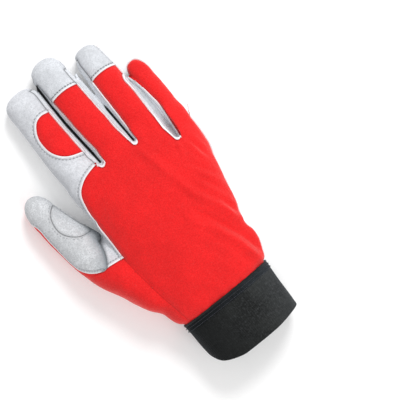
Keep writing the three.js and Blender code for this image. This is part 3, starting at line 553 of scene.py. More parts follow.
def thumb_region(x, y, z):
    def beyond(shares):
        line = seam(shares, THUMB_SPREAD)
        between = line[0][0] - THUMB_CROTCH
        rest = [[-FAR, line[-1][1]], [-FAR, FAR], [between, FAR], [between, line[0][1] + THUMB_CROTCH]]
        return within(x, y, np.vstack([line, rest]))
    over = z - thumb_height(y)
    return np.maximum(np.minimum(beyond(THUMB_ROOT_TOP), over), np.minimum(beyond(THUMB_ROOT_PALM), -over))


def patch_region(x, y, z):
    return np.minimum(within(x, y, seam(THUMB_PATCH, THUMB_SPREAD)), z - thumb_height(y))


# Soft relief of the cloth
rng = np.random.default_rng(7)


class Ripple:
    """A smooth random surface: a sum of waves of about one length."""
    def __init__(self, length, count=24):
        directions = unit(rng.normal(size=(count, 3)))
        self.waves = directions * (2 * np.pi / (length * rng.uniform(0.7, 1.5, count)))[:, None]
        self.phases = rng.uniform(0, 2 * np.pi, count)

    def __call__(self, points):
        return np.sin(points @ self.waves.T + self.phases).sum(1) / math.sqrt(len(self.phases))


swell, dimple = Ripple(38), Ripple(13)
GATHER_PITCH, GATHER_REACH = 8.6, 9.0
CREASES = ((0.0, 0.7), (0.42, 0.35), (0.72, 0.25))   # across each finger: share along it, and depth


def relief(points, normals):
    """How far each point stands out: folds, gathers, creases and a soft unevenness."""
    x, y, z = points.T
    out = 0.32 * swell(points) + 0.1 * dimple(points)
    upward = np.clip(normals[:, 2] * 2.2, -1, 1)
    for side, fx, fy, tx, ty, half, depth in FOLDS:
        ends = [(u * PALM_WIDTH, CUFF_SEAM + v * PALM_LENGTH) for u, v in ((fx, fy), (tx, ty))]
        away, share = to_segment(x, y, *ends)
        fade = np.sin(np.pi * (0.06 + 0.88 * share)) ** 0.6
        profile = bell(1.9 * away / half, 1) - 0.3 * bell(2.4 * (away / half - 1.25), 1)
        out -= depth * profile * fade * np.clip(side * upward, 0, 1)
    # The thumb's leather tucks under at its root, deepest beside the hand
    root = seam(THUMB_ROOT_TOP, THUMB_SPREAD)
    beyond = within(x, y, np.vstack([root, [[-FAR, root[-1][1]], [-FAR, FAR], [root[0][0], FAR]]]))
    share = np.clip((y - root[-1][1]) / (root[0][1] - root[-1][1]), 0, 1.25)
    tuck = np.where(beyond > 0, bell(beyond, 2.5 + 2.5 * share), bell(beyond, 0.9))
    reach = np.clip((y - root[-1][1] + 4) / 6, 0, 1) * np.clip((root[0][1] + 12 - y) / 8, 0, 1)
    out -= (1.2 + 5.2 * share ** 1.3) * tuck * reach * np.clip(upward, 0, 1)
    # Short gathers where the hand meets the cuff, deeper on the palm
    near = np.exp(-np.maximum(y - CUFF_SEAM, 0) / GATHER_REACH)
    palm_side = np.clip(-upward, 0, 1)
    wander = 0.35 * (y - CUFF_SEAM) / GATHER_REACH
    gather = np.sin(2 * np.pi * (x / GATHER_PITCH + wander * np.sin(x / 11.0)))
    crimp = 1.1 * np.abs(np.sin(np.pi * x / GATHER_PITCH + wander)) - 0.9
    out += near * (0.16 * gather * (1 - palm_side) + palm_side * crimp)
    # The fabric rolls down onto the cuff
    out -= 1.1 * bell(y - CUFF_SEAM, 2.2)
    # Creases across the fingers, where they bend
    for finger in FINGERS:
        left, right = finger.edges(y)
        inside = np.clip(np.minimum(x - left, right - x) + 1.5, 0, 1)
        for share, depth in CREASES:
            place = finger.root + share * (finger.tip - finger.root)
            out -= depth * bell(y - place - 0.003 * (x - left) ** 2, 2.4) * inside * (0.35 + 0.65 * palm_side)
    return out


def normals_of(verts, tris):
    a, b, c = verts[tris[:, 0]], verts[tris[:, 1]], verts[tris[:, 2]]
    facing = np.cross(b - a, c - a)
    total = np.zeros_like(verts)
    for k, axis in itertools.product(range(3), range(3)):
        total[:, axis] += np.bincount(tris[:, k], facing[:, axis], len(verts))
    return unit(total)


def islands(tris, count):
    """A number for each triangle, the same for triangles that hang together."""
    label = np.arange(count)
    while True:
        lowest = label[tris].min(1)
        new = label.copy()
        for k in range(3):
            np.minimum.at(new, tris[:, k], lowest)
        new = new[new]
        if (new == label).all():
            return label[tris[:, 0]]
        label = new


# In the order in which they are cut; the palm's leather is what is left
REGIONS = {"fourchette_" + name: partial(strip_region, name) for name in SLITS}
REGIONS.update({name + "_tip_cap": partial(cap_region, name) for name in CAP_SEAMS})
REGIONS.update(knuckle_patch=knuckle_region, thumb_patch=patch_region, back_panel=back_region,
               side_panel=side_region, thumb_panel=thumb_region)
FABRIC = {"knuckle_patch", "back_panel", "side_panel"}


def cut_panels():
    """The hand's surface cut along its seams: vertices, and the triangles of each panel by name."""
    verts, rest = hand_surface()
    verts, rest, _ = cut(verts, rest, lambda x, y, z: y - CUFF_SEAM)
    panels = {}
    for name, region in REGIONS.items():
        verts, panels[name], rest = cut(verts, rest, region)
    panels["palm_panel"] = rest
    # Loose scraps go to the panel round them
    owners = {name: np.unique(tris) for name, tris in panels.items()}
    for name in list(panels):
        tris = panels[name]
        labels = islands(tris, len(verts))
        found, sizes = np.unique(labels, return_counts=True)
        for label in found[sizes < sizes.max()]:
            scrap = tris[labels == label]
            corners = np.unique(scrap)
            shared = {other: np.isin(corners, verts_of).sum() for other, verts_of in owners.items()
                      if other != name}
            home = max(shared, key=shared.get)
            panels[home] = np.vstack([panels[home], scrap])
        panels[name] = np.vstack([tris[labels == found[sizes.argmax()]],
                                  panels[name][len(tris):]])
    return verts, panels


def cut(verts, tris, region):
    used = np.unique(tris)
    value = np.ones(len(verts))
    value[used] = region(*verts[used].T)
    return split(verts, tris, value)


def directed(tris, count):
    edges = np.vstack([tris[:, [0, 1]], tris[:, [1, 2]], tris[:, [2, 0]]]).astype(np.int64)
    return edges, edges[:, 0] * count + edges[:, 1], edges[:, 1] * count + edges[:, 0]


def border_edges(panels, count):
    """For each panel its border edges, with the name of the panel on the other side of each."""
    names = list(panels)
    keys, owner = [], []
    for i, name in enumerate(names):
        _, forward, _ = directed(panels[name], count)
        keys.append(forward)
        owner.append(np.full(len(forward), i))
    keys, owner = np.concatenate(keys), np.concatenate(owner)
    order = keys.argsort()
    keys, owner = keys[order], owner[order]
    borders = {}
    for i, name in enumerate(names):
        edges, forward, backward = directed(panels[name], count)
        at = np.minimum(np.searchsorted(keys, backward), len(keys) - 1)
        other = np.where(keys[at] == backward, owner[at], -1)
        outer = other != i
        borders[name] = edges[outer], other[outer]
    return borders, names


def distances(points, lines):
    """Distance from points to a set of border points, up to NO_SEAM."""
    away = np.full(len(points), NO_SEAM)
    if not len(lines):
        return away
    tree = KDTree(len(lines))
    for i, place in enumerate(lines):
        tree.insert(place, i)
    tree.balance()
    for i, point in enumerate(points):
        away[i] = min(NO_SEAM, tree.find(point)[2])
    return away


def add_piece(name, points, faces, look, slot, replaces=(), sharp=50, **attributes):
    """One visible piece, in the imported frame. Attributes are values for each vertex."""
    mesh = bpy.data.meshes.new(name)
    faces = faces.tolist() if hasattr(faces, "tolist") else faces
    mesh.from_pydata(((points + SHIFT) * MM).tolist(), [], faces)
    for key, values in attributes.items():
        layer = mesh.attributes.new(key, "FLOAT", "POINT")
        layer.data.foreach_set("value", np.asarray(values, np.float32))
    mesh.validate()
    mesh.shade_smooth()
    mesh.set_sharp_from_angle(angle=math.radians(sharp))
    mesh.materials.append(look)
    piece = bpy.data.objects.new(name, mesh)
    bpy.context.scene.collection.objects.link(piece)
    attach(piece, "root")
    if replaces:
        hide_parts(*replaces)
    return piece


def shell(points, normals, tris, edges, thick):
    """Gives a sheet its thickness: an inner side, and a rim along its border edges."""
    used, flat = np.unique(tris, return_inverse=True)
    tris = flat.reshape(tris.shape)
    count = len(used)
    lookup = np.full(len(points), -1)
    lookup[used] = np.arange(count)
    a, b = lookup[edges[:, 0]], lookup[edges[:, 1]]
    outer = points[used]
    inner = outer - thick * normals[used]
    inner[:, 2] = np.maximum(inner[:, 2], np.minimum(outer[:, 2], 0) + 0.05)
    rim = np.vstack([np.stack([b, a, a + count], 1), np.stack([b, a + count, b + count], 1)])
    faces = np.vstack([tris, tris[:, ::-1] + count, rim])
    return np.vstack([outer, inner]), faces, used


def chains(edges, keep):
    """Joins directed border edges into lines of vertex numbers."""
    follows = {int(a): int(b) for (a, b), wanted in zip(edges, keep) if wanted}
    starts = [a for a in follows if a not in set(follows.values())] or list(follows)[:1]
    lines = []
    while follows:
        start = next((s for s in starts if s in follows), next(iter(follows)))
        line = [start]
        while line[-1] in follows:
            line.append(follows.pop(line[-1]))
        if len(line) > 6:
            lines.append(line)
    return lines


def smoothed(line, rounds=4):
    line = line.copy()
    for _ in range(rounds):
        line[1:-1] = 0.5 * line[1:-1] + 0.25 * (line[:-2] + line[2:])
    return line


THREAD_SIDES = 6
STEEP, LOWEST_STITCH = 0.35, 0.6   # no stitches where the surface is steeper, or nearer to the floor


def beside(line, surface, inward, pitch):
    """Places at even steps beside a border line, on a surface: (place, direction, normal)."""
    line = resample(smoothed(line), pitch)
    found = []
    for point, direction in zip(line, unit(np.gradient(line, axis=0))):
        _, normal, _, _ = surface.find_nearest(Vector(point))
        if abs(normal[2]) < STEEP:
            continue
        side = Vector(normal).cross(Vector(direction)).normalized()
        place, normal, _, _ = surface.find_nearest(Vector(point) + side * inward)
        if place[2] < LOWEST_STITCH:
            continue
        found.append((np.array(place), direction, np.array(normal)))
    return found


def ring_quads(rows, count, closed=False):
    """Quads between rings of count points each, and from the last ring to the first if closed."""
    ring = np.arange(rows * count).reshape(rows, count)
    after = np.roll(ring, -1, axis=0) if closed else ring[1:]
    ring = ring if closed else ring[:-1]
    corners = (ring, np.roll(ring, -1, axis=1), np.roll(after, -1, axis=1), after)
    return np.stack([corner.ravel() for corner in corners], axis=1)


def thread(rows, length, radius, rise=0.5):
    """Short rounded threads laid on a surface: vertices and faces."""
    along = np.array([-1, -0.8, -0.3, 0.3, 0.8, 1.0])
    thick = np.repeat(np.array([0.35, 0.8, 1.0, 1.0, 0.8, 0.35]) * radius, THREAD_SIDES)
    turn = np.tile(np.arange(THREAD_SIDES) / THREAD_SIDES * 2 * np.pi, len(along))
    height = np.repeat(rise * radius - (np.abs(along) ** 3) * radius * 1.3, THREAD_SIDES)
    local = np.stack([np.repeat(along * length / 2, THREAD_SIDES), np.cos(turn) * thick,
                      np.sin(turn) * thick + height], axis=1)
    place, ahead, up = (np.array(column) for column in zip(*rows))
    ahead = unit(ahead - (ahead * up).sum(1)[:, None] * up)
    frames = np.stack([ahead, np.cross(up, ahead), up], axis=1)
    verts = place[:, None, :] + np.einsum("vk,nkj->nvj", local, frames)
    one = ring_quads(len(along), THREAD_SIDES).tolist()
    one += [list(range(THREAD_SIDES))[::-1], list(range(len(local) - THREAD_SIDES, len(local)))]
    faces = [[v + n * len(local) for v in face] for n in range(len(rows)) for face in one]
    return verts.reshape(-1, 3), faces


# Node materials
class Nodes:
    """A small helper for material nodes. Lengths in it are millimetres on the object."""
    def __init__(self, name):
        self.look = bpy.data.materials.new(name)
        self.look.use_nodes = True
        self.tree = self.look.node_tree
        self.shader = self.tree.nodes["Principled BSDF"]
        place = self.tree.nodes.new("ShaderNodeTexCoord").outputs["Object"]
        self.place = self.scaled(place, 1000)

    def connect(self, socket, value):
        if isinstance(value, bpy.types.NodeSocket):
            self.tree.links.new(value, socket)
        elif value is not None:
            socket.default_value = value

    def add(self, kind, settings=None, output=0, **inputs):
        node = self.tree.nodes.new(kind)
        for key, value in (settings or {}).items():
            setattr(node, key, value)
        for key, value in inputs.items():
            self.connect(node.inputs[key.replace("_", " ")], value)
        return node.outputs[output]

    def operate(self, kind, operation, values):
        node = self.tree.nodes.new(kind)
        node.operation = operation
        for socket, value in zip(node.inputs, values):
            self.connect(socket, value)
        return node

    def math(self, operation, *values):
        return self.operate("ShaderNodeMath", operation, values).outputs[0]

    def times(self, a, b):
        return self.math("MULTIPLY", a, b)

    def less(self, a, b):
        return self.math("SUBTRACT", a, b)

    def scaled(self, vector, scale):
        node = self.operate("ShaderNodeVectorMath", "SCALE", [vector])
        node.inputs["Scale"].default_value = scale
        return node.outputs[0]

    def noise(self, size, detail=2.0, rough=0.5):
        return self.add("ShaderNodeTexNoise", Vector=self.place, Scale=1 / size, Detail=detail,
                        Roughness=rough)

    def cells(self, size):
        return self.add("ShaderNodeTexVoronoi", Vector=self.place, Scale=1 / size)

    def wave(self, size, place, direction):
        return self.add("ShaderNodeTexWave", {"bands_direction": direction}, 1, Vector=place,
                        Scale=0.314 / size)

    def attribute(self, name):
        return self.add("ShaderNodeAttribute", {"attribute_name": name}, output=2)

    def span(self, value, low, high, to_low=0.0, to_high=1.0):
        return self.add("ShaderNodeMapRange", {"interpolation_type": "SMOOTHSTEP"}, Value=value,
                        From_Min=low, From_Max=high, To_Min=to_low, To_Max=to_high)

    def mix(self, share, first, second):
        node = self.tree.nodes.new("ShaderNodeMix")
        node.data_type = "RGBA"
        for key, value in (("Factor", share), (6, first), (7, second)):
            self.connect(node.inputs[key], (*value, 1) if isinstance(value, tuple) else value)
        return node.outputs[2]

    def bump(self, height, depth, base=None):
        """depth in mm of a height from 0 to 1."""
        return self.add("ShaderNodeBump", Height=height, Distance=depth * MM, Strength=1.0, Normal=base)

    def finish(self, colour, roughness, normal, sheen=0.0, tint=(1, 1, 1), specular=0.3):
        for key, value in (("Base Color", colour), ("Roughness", roughness), ("Normal", normal),
                           ("Sheen Weight", sheen), ("Sheen Roughness", 0.45), ("Sheen Tint", tint),
                           ("Specular IOR Level", specular)):
            self.connect(self.shader.inputs[key], (*value, 1) if isinstance(value, tuple) else value)
        return self.look


def colour(r, g, b):
    """A colour given as screen values from 11 to 255."""
    return tuple(((v / 255 + 0.055) / 1.055) ** 2.4 for v in (r, g, b))


def tinted(base, share, more=0.0):
    return tuple(min(1, share * v + more) for v in base)


def leather_look(name, base, speckle, suede, shade=0.0):
    """Light grey leather: pale raw edges, a fine nap or grain, soft soiling, and painted shade in the grooves
    of its seams and stitch line.
    shade is how dark the painted shade gets near a slit's middle or the thumb's root, beside the painted
    black shadow line there."""
    n = Nodes(name)
    edge, seam_near, valley = n.attribute("edge"), n.attribute("seam"), n.attribute("valley")
    fine, blotch, pores = n.noise(0.9, 4, 0.7), n.noise(14, 3, 0.55), n.cells(0.85)
    tone = n.mix(n.span(blotch, 0.35, 0.65), tinted(base, 0.9), tinted(base, 1.05))
    tone = n.mix(n.times(n.span(fine, 0.42, 0.66), speckle), tone, tinted(base, 0.6))
    tone = n.mix(n.times(n.span(n.noise(2.6, 3, 0.6), 0.46, 0.62), 0.8 * speckle), tone, tinted(base, 0.74))
    warm = tuple(0.8 * v * w for v, w in zip(base, (0.98, 0.96, 0.93)))
    tone = n.mix(n.span(n.noise(26, 4, 0.6), 0.55, 0.75, 0, 0.22), tone, warm)
    raw = n.span(n.math("ADD", edge, n.times(n.noise(1.5), 0.5)), 0.75, 1.25, 0.7, 0)
    tone = n.mix(raw, tone, colour(240, 241, 243))
    # Painted shade in the groove along a seam between leather pieces: a dark line, then a softer band beside
    # it
    tone = n.mix(n.span(seam_near, 0.25, 0.75, 0.85, 0), tone, tinted(base, 0.16))
    tone = n.mix(n.span(seam_near, 0.5, 2.4, 0.3, 0), tone, tinted(base, 0.45))
    # Painted shade along the stitch line's groove, 2.2 mm from the raw edge; the same groove is also a bump
    groove = n.span(n.math("ABSOLUTE", n.less(edge, 2.2)), 0.0, 0.7, 0, 1)
    tone = n.mix(n.times(n.less(1, groove), 0.3), tone, tinted(base, 0.55))
    if shade:
        # Painted shade near a slit's middle or the thumb's root, and a painted black shadow line at it
        painted_shade_colour = tuple(0.36 * v * w for v, w in zip(base, (0.92, 1, 1.06)))
        tone = n.mix(n.span(valley, 0.9, 2.5, shade, 0), tone, painted_shade_colour)
        tone = n.mix(n.span(valley, 0.7, 1.35, 1, 0), tone, (0.006, 0.006, 0.007))
    bumps = None
    for height, depth in ((fine, 0.2 if suede else 0.12), (pores, 0.1 if suede else 0.16), (groove, 0.35),
                          (n.noise(5, 3, 0.5), 0.5)):
        bumps = n.bump(height, depth, bumps)
    return n.finish(tone, n.span(fine, 0.3, 0.7, 0.72, 0.92), bumps, 0.25 if suede else 0.08,
                    (0.9, 0.93, 1.0), 0.22)


def fabric_look(name, base, period=0.8):
    """Red stretch knit: fine courses of small loops, soft sheen and painted shade in the valleys at the
    seams.
    """
    n = Nodes(name)
    loops, fuzz = n.less(1, n.span(n.cells(period), 0.15, 0.75)), n.noise(0.5, 4, 0.7)
    tone = n.mix(n.span(n.noise(18, 3, 0.5), 0.3, 0.7), tinted(base, 0.94), tinted(base, 1.04))
    for share, over in (
            (n.span(n.noise(1.6, 4, 0.7), 0.42, 0.6, 0.16, 0), tinted(base, 0.6)),
            (n.span(n.noise(1.2, 3, 0.7), 0.54, 0.7, 0, 0.09), (0.95, 0.16, 0.14)),
            (n.times(n.span(loops, 0.0, 0.45, 1, 0), 0.27), tinted(base, 0.55)),
            (n.times(n.span(fuzz, 0.5, 0.75), 0.12), tinted(base, 1, 0.12)),
            # Painted shade where the fabric dips at its seams, beside leather and beside fabric
            (n.span(n.attribute("edge"), 0.1, 1.5, 0.55, 0), tinted(base, 0.35)),
            (n.span(n.attribute("seam"), 0.15, 0.7, 0.3, 0), tinted(base, 0.35))):
        tone = n.mix(share, tone, over)
    bumps = n.bump(n.noise(6, 3, 0.55), 0.55, n.bump(fuzz, 0.05, n.bump(loops, 0.1)))
    return n.finish(tone, n.span(loops, 0, 1, 0.85, 0.7), bumps, 0.35, (1.0, 0.6, 0.55), 0.2)


def knit_look(name, base, light):
    """Charcoal knit: ribs of V-shaped stitches that follow the cuff's own directions, and lint.
    Painted shade darkens it towards -x, and painted light brightens it towards +x."""
    n = Nodes(name)
    slant = n.math("ABSOLUTE", n.less(n.math("FRACT", n.math("DIVIDE", n.attribute("across"), RIB)), 0.5))
    loop = n.math("PINGPONG", n.math("ADD", n.math("DIVIDE", n.attribute("along"), 1.05), slant), 0.5)
    height = n.math("ADD", n.times(n.times(loop, 2), 0.6), n.times(n.span(slant, 0.0, 0.5, 1, 0), 0.4))
    fuzz, side = n.noise(0.45, 4, 0.75), n.add("ShaderNodeSeparateXYZ", Vector=n.place)
    tone = n.mix(n.span(height, 0.15, 0.85), tinted(base, 0.4), base)
    for share, over in (
            (n.span(n.noise(1.9, 3, 0.7), 0.4, 0.6, 0.75, 0), tinted(base, 0.25)),
            (n.times(n.span(fuzz, 0.5, 0.8), 0.4), light),
            (n.span(n.noise(1.4, 4, 0.75), 0.5, 0.72, 0, 0.24), light),
            (n.span(n.noise(16, 3, 0.55), 0.35, 0.7, 0, 0.4), tinted(base, 1.5)),
            # Painted shade towards -x and painted light towards +x
            (n.span(side, -32, 30, 0.85, 0.1), tinted(base, 0.25)),
            (n.span(side, 14, 40, 0, 0.1), light)):
        tone = n.mix(share, tone, over)
    return n.finish(tone, 0.92, n.bump(fuzz, 0.12, n.bump(height, 0.28)), 0.12, (0.75, 0.8, 0.9), 0.1)


def webbing_look(name, base, period=0.9):
    """Hook-and-loop or woven tape: over and under threads with stray fibres."""
    n = Nodes(name)
    over, under = n.wave(period, n.place, "X"), n.wave(period, n.place, "Y")
    weave = n.math("MAXIMUM", n.times(over, n.less(1, under)), n.times(under, n.less(1, over)))
    fuzz = n.noise(0.4, 5, 0.8)
    tone = n.mix(n.span(weave, 0.1, 0.8), tinted(base, 0.5), base)
    tone = n.mix(n.times(n.span(fuzz, 0.55, 0.8), 0.5), tone, tinted(base, 3, 0.01))
    return n.finish(tone, 0.9, n.bump(fuzz, 0.15, n.bump(weave, 0.2)), 0.2, (0.8, 0.85, 0.9), 0.2)


def rubber_look(name, base):
    """Moulded satin rubber: fine pitting and paler handling marks."""
    n = Nodes(name)
    pits, wide = n.noise(0.3, 3, 0.6), n.noise(9, 4, 0.6)
    tone = n.mix(n.span(wide, 0.4, 0.7), base, tinted(base, 1.5))
    bumps = n.bump(pits, 0.04, n.bump(n.noise(4, 2, 0.5), 0.12))
    return n.finish(tone, n.span(wide, 0.3, 0.7, 0.42, 0.6), bumps, specular=0.4)


def thread_look(name, base):
    """Twisted sewing thread."""
    n = Nodes(name)
    twist = n.wave(0.32, n.scaled(n.place, 1.4), "DIAGONAL")
    tone = n.mix(n.span(twist, 0.1, 0.9), tinted(base, 0.6), base)
    return n.finish(tone, 0.75, n.bump(twist, 0.06), 0.1)


RIB = 1.5   # width of the cuff's ribs
RED = fabric_look("red_stretch_fabric", colour(230, 25, 27))
SUEDE = leather_look("palm_suede", colour(213, 215, 220), 0.5, True)
THUMB_SUEDE = leather_look("thumb_suede", colour(212, 214, 217), 0.85, True, 0.95)
TIP_LEATHER = leather_look("tip_leather", colour(211, 214, 219), 0.5, False)
# A lighter copy of the tip leather: painted light on the slits' shaded walls, which also get painted shade
# near the slit's middle
STRIP_LEATHER = leather_look("strip_leather_painted_light", colour(228, 231, 236), 0.4, False, 0.3)
# The second colour serves both the lint and the painted light on the +x side
KNIT = knit_look("charcoal_knit", colour(44, 46, 45), colour(112, 115, 118))
BAND_KNIT = knit_look("band_knit", colour(36, 40, 43), colour(84, 92, 100))
WEBBING = webbing_look("black_webbing", colour(34, 35, 35))
RUBBER = rubber_look("satin_rubber", colour(42, 44, 41))
PALE_THREAD = thread_look("pale_thread", colour(176, 178, 182))
DARK_THREAD = thread_look("dark_thread", colour(112, 113, 118))
RED_THREAD = thread_look("red_thread", colour(205, 24, 28))
CUFF_THREAD = thread_look("cuff_thread", colour(60, 63, 70))


# The hand: one surface, cut into its panels and folded
PATCH_DIP = 1.6   # how far the leather inside the thumb's curved seam lies lower
surface_verts, panels = cut_panels()
all_tris = np.vstack(list(panels.values()))
facing = normals_of(surface_verts, all_tris)
height = relief(surface_verts, facing)
hollow = patch_region(*surface_verts.T)
height -= PATCH_DIP * np.clip(hollow / 7.0, 0, 1) ** 0.7
folded = surface_verts + facing * height[:, None]
folded[:, 2] = np.maximum(folded[:, 2], 0.0)
facing = normals_of(folded, all_tris)

borders, names = border_edges(panels, len(folded))
is_fabric = np.array([name in FABRIC for name in names] + [False])
pucker, _ = Ripple(5.5), Ripple(9.0)   # the second one only keeps the later random draws as they are
skins = {}
# The painted shadow in a slit, a black line with painted shade beside it: half its width, the share of the
# slit where it fades out, its least value
PAINTED_SLIT_SHADOW = {"fourchette_index_middle": (1.0, 0.95, 0.0), "fourchette_middle_ring": (0.85, 0.4, 0.0),
               "fourchette_ring_little": (1.3, 0.8, 1.15)}
THUMB_PIECES = ("thumb_panel", "thumb_patch")


def slot_and_look(name):
    if name in FABRIC:
        return "red_fabric", RED
    if name == "palm_panel":
        return "palm_leather", SUEDE
    if name in THUMB_PIECES:
        return "palm_leather", THUMB_SUEDE
    return "tip_leather", STRIP_LEATHER if name.startswith("fourchette") else TIP_LEATHER


for index, name in enumerate(names):
    tris = panels[name]
    edges, other = borders[name]
    used = np.unique(tris)
    points = folded[used]

    def samples(wanted):
        a, b = folded[edges[wanted, 0]], folded[edges[wanted, 1]]
        return np.vstack([a, (a + b) / 2, b])

    mixed = (other >= 0) & (is_fabric[other] != is_fabric[index])
    alike = ~mixed & ((other >= 0) | (folded[edges[:, 0], 1] < CUFF_SEAM + 0.5))
    edge, plain = distances(points, samples(mixed)), distances(points, samples(alike))
    # valley_line sets where the leather gets painted shade and a painted black shadow line: beside the
    # thumb's root, and in a slit's middle
    valley_line = np.full(len(points), NO_SEAM)
    if name in THUMB_PIECES:
        root = seam(THUMB_ROOT_TOP, THUMB_SPREAD)
        line = np.column_stack([root, np.zeros(len(root))])
        along = np.clip((points[:, 1] - root[-1][1]) / 30, 0, 1)
        valley_line = 1.0 + 0.25 * (1 - along) + distances(points * [1, 1, 0], line) / 8.5
    if name in PAINTED_SLIT_SHADOW:
        away, share = from_slit(name.removeprefix("fourchette_"), points[:, 0], points[:, 1])
        half, fades, least = PAINTED_SLIT_SHADOW[name]
        valley_line = np.maximum(away / half, least) + 3 * np.clip((share - fades) / 0.2, 0, 1)
    ruffle = pucker(points)
    if name in FABRIC:
        lift = 0.3 * bell(edge - 4.5, 2.6) - FABRIC_DIP * bell(edge, 2.2) + 0.08 * ruffle * bell(edge, 5)
    else:
        lift = LEATHER_LIFT * bell(edge, 3.2) + 0.05 * ruffle * bell(edge, 4)
    valley = 0.16 if name in FABRIC else 0.55
    lift += valley * (0.36 * bell(plain - 3, 1.8) - bell(plain, 1.1))
    place = np.zeros_like(folded)
    place[used] = points + facing[used] * lift[:, None]
    place[used, 2] = np.maximum(place[used, 2], 0.0)
    solid, faces, used = shell(place, facing, tris, edges, SKIN)
    slot, look = slot_and_look(name)
    add_piece(name + "_soft", solid, faces, look, slot, [name],
              edge=np.tile(edge, 2), seam=np.tile(plain, 2), valley=np.tile(valley_line, 2))
    skins[name] = place


# The cuff and what is on it
def cuff_section(y):
    share = y / CUFF_LENGTH
    half = (0.485 + 0.03 * share) * CUFF_WIDTH
    low = CUFF_FLOOR - 0.02 * CUFF_DEPTH
    return CUFF_MIDDLE - half, CUFF_MIDDLE + half, low, low + (0.95 + 0.05 * share) * CUFF_DEPTH


def powered(value, power):
    return np.sign(value) * np.abs(value) ** power


def oval_point(section, angle, grow, floor):
    left, right, low, high = section
    wide, deep = (right - left) / 2 + grow, (high - low) / 2 + grow
    power = 2 / np.where(np.sin(angle) >= 0, 2.2, 4.0)
    x = (left + right) / 2 + wide * powered(np.cos(angle), power)
    z = (low + high) / 2 + deep * powered(np.sin(angle), power)
    return x, np.maximum(z, floor)


def even_angles(count):
    """Angles round the cuff at even steps of length."""
    angles = np.linspace(0, 2 * np.pi, 4001)
    x, z = oval_point(cuff_section(CUFF_LENGTH / 2), angles, 0, CUFF_FLOOR)
    length = lengths_along(np.column_stack([x, z]))
    places = np.arange(count) / count * length[-1]
    return np.interp(places, length, angles), places


cuff_curve = smooth_line(CUFF_END, CUFF_WIDTH, 0, CUFF_LENGTH)
soft_knit = Ripple(17)


def cuff_end(x, z):
    return np.maximum(np.interp(x, cuff_curve[:, 0], cuff_curve[:, 1]),
                      CUFF_END_TILT * (1 - (z - CUFF_FLOOR) / CUFF_DEPTH))


def cuff_place(angle, share, grow, first=0.0, last=CUFF_SEAM):
    """A point of the cuff: share 0 at its open end or at first, 1 at its seam or at last."""
    y = np.full(np.shape(angle), first)
    for _ in range(4):
        x, z = oval_point(cuff_section(y), angle, grow, CUFF_FLOOR - grow)
        start = np.maximum(cuff_end(x, z), first)
        y = start + share * (last - start)
    points = np.stack([x, y, z], axis=-1)
    centre = np.stack([np.full_like(x, CUFF_MIDDLE), y, np.full_like(x, CUFF_DEPTH / 2)], axis=-1)
    wave = 0.42 * soft_knit(points.reshape(-1, 3) * [1, 0.6, 1]).reshape(x.shape)
    wave *= np.sin(np.pi * np.clip(share, 0.02, 0.98)) ** 0.5 * np.clip((z - CUFF_FLOOR) / 4, 0, 1)
    return points + unit(points - centre) * wave[..., None]


def closed_rings(rings):
    """Joins rings of points into one closed band, its last ring to its first: points and quads."""
    rings = np.array(rings)
    return rings.reshape(-1, 3), ring_quads(*rings.shape[:2], closed=True)


def band(count, outer_shares, inner_shares, wall, grow, lip, first=0.0, last=CUFF_SEAM, ribs=0.0):
    """A knitted band with two sides and rounded ends, and its own directions across and along."""
    angles, lengths = even_angles(count)
    rings, along = [], []
    rib = ribs * np.cos(2 * np.pi * lengths * round(lengths[-1] / RIB) / lengths[-1])
    places = [(share, True) for share in outer_shares] + [(share, False) for share in inner_shares]
    for share, outer in places:
        into_lip = max(0.0, 1 - share * (last - first) / lip)
        rounding = lip * (1 - math.sqrt(1 - into_lip ** 2))
        rings.append(cuff_place(angles, share, grow + (rib - rounding if outer else -wall), first, last))
        along.append(np.full(count, first + share * (last - first)))
    points, faces = closed_rings(rings)
    return points, faces, np.tile(lengths, len(rings)), np.concatenate(along)


fine = 1
outer_shares = np.concatenate([[0.0, 0.006, 0.014, 0.028], np.linspace(0.045, 1.0, 76 // fine)])
inner_shares = np.concatenate([np.linspace(1.0, 0.05, 20), [0.02, 0.0]])
points, faces, across, along = band(560 // fine, outer_shares, inner_shares, CUFF_WALL, -0.05, 0.9,
                                    ribs=0.09)
add_piece("cuff_soft", points, faces[:, ::-1], KNIT, "cuff_knit", ["cuff"], sharp=75,
          across=across, along=along)

# The double band beside the hand, sewn with two rows of stitches
BAND_LENGTH = 6.2
points, faces, across, along = band(420 // fine, np.linspace(0, 1, 12), np.linspace(1, 0, 5), 0.5, 0.16,
                                    0.3, CUFF_SEAM - BAND_LENGTH, CUFF_SEAM - 0.2, ribs=0.05)
add_piece("cuff_band", points, faces[:, ::-1], BAND_KNIT, "cuff_knit", sharp=60,
          across=across, along=along)

# The black binding that is sewn over the seam
angles, lengths = even_angles(300)
rings = []
for turn in np.linspace(0, 2 * np.pi, 10, endpoint=False):
    share = np.full_like(angles, 0.5 + 0.5 * math.sin(turn))
    rings.append(cuff_place(angles, share, 0.1 + 0.4 * math.cos(turn), CUFF_SEAM - 1.2, CUFF_SEAM + 0.1))
points, faces = closed_rings(rings)
add_piece("cuff_binding_soft", points, faces, WEBBING, "cuff_knit", ["cuff_binding"], sharp=80)

# The strap lies under the cuff, square at its sewn end and round at the free one
strap_middle = CUFF_LENGTH - BINDING_WIDTH - STRAP_MARGIN - STRAP_WIDTH / 2
strap_right = CUFF_MIDDLE + STRAP_LENGTH / 2
tab_right = strap_right - STRAP_FOLD - GAP
STRAP_CORNER = 1.6


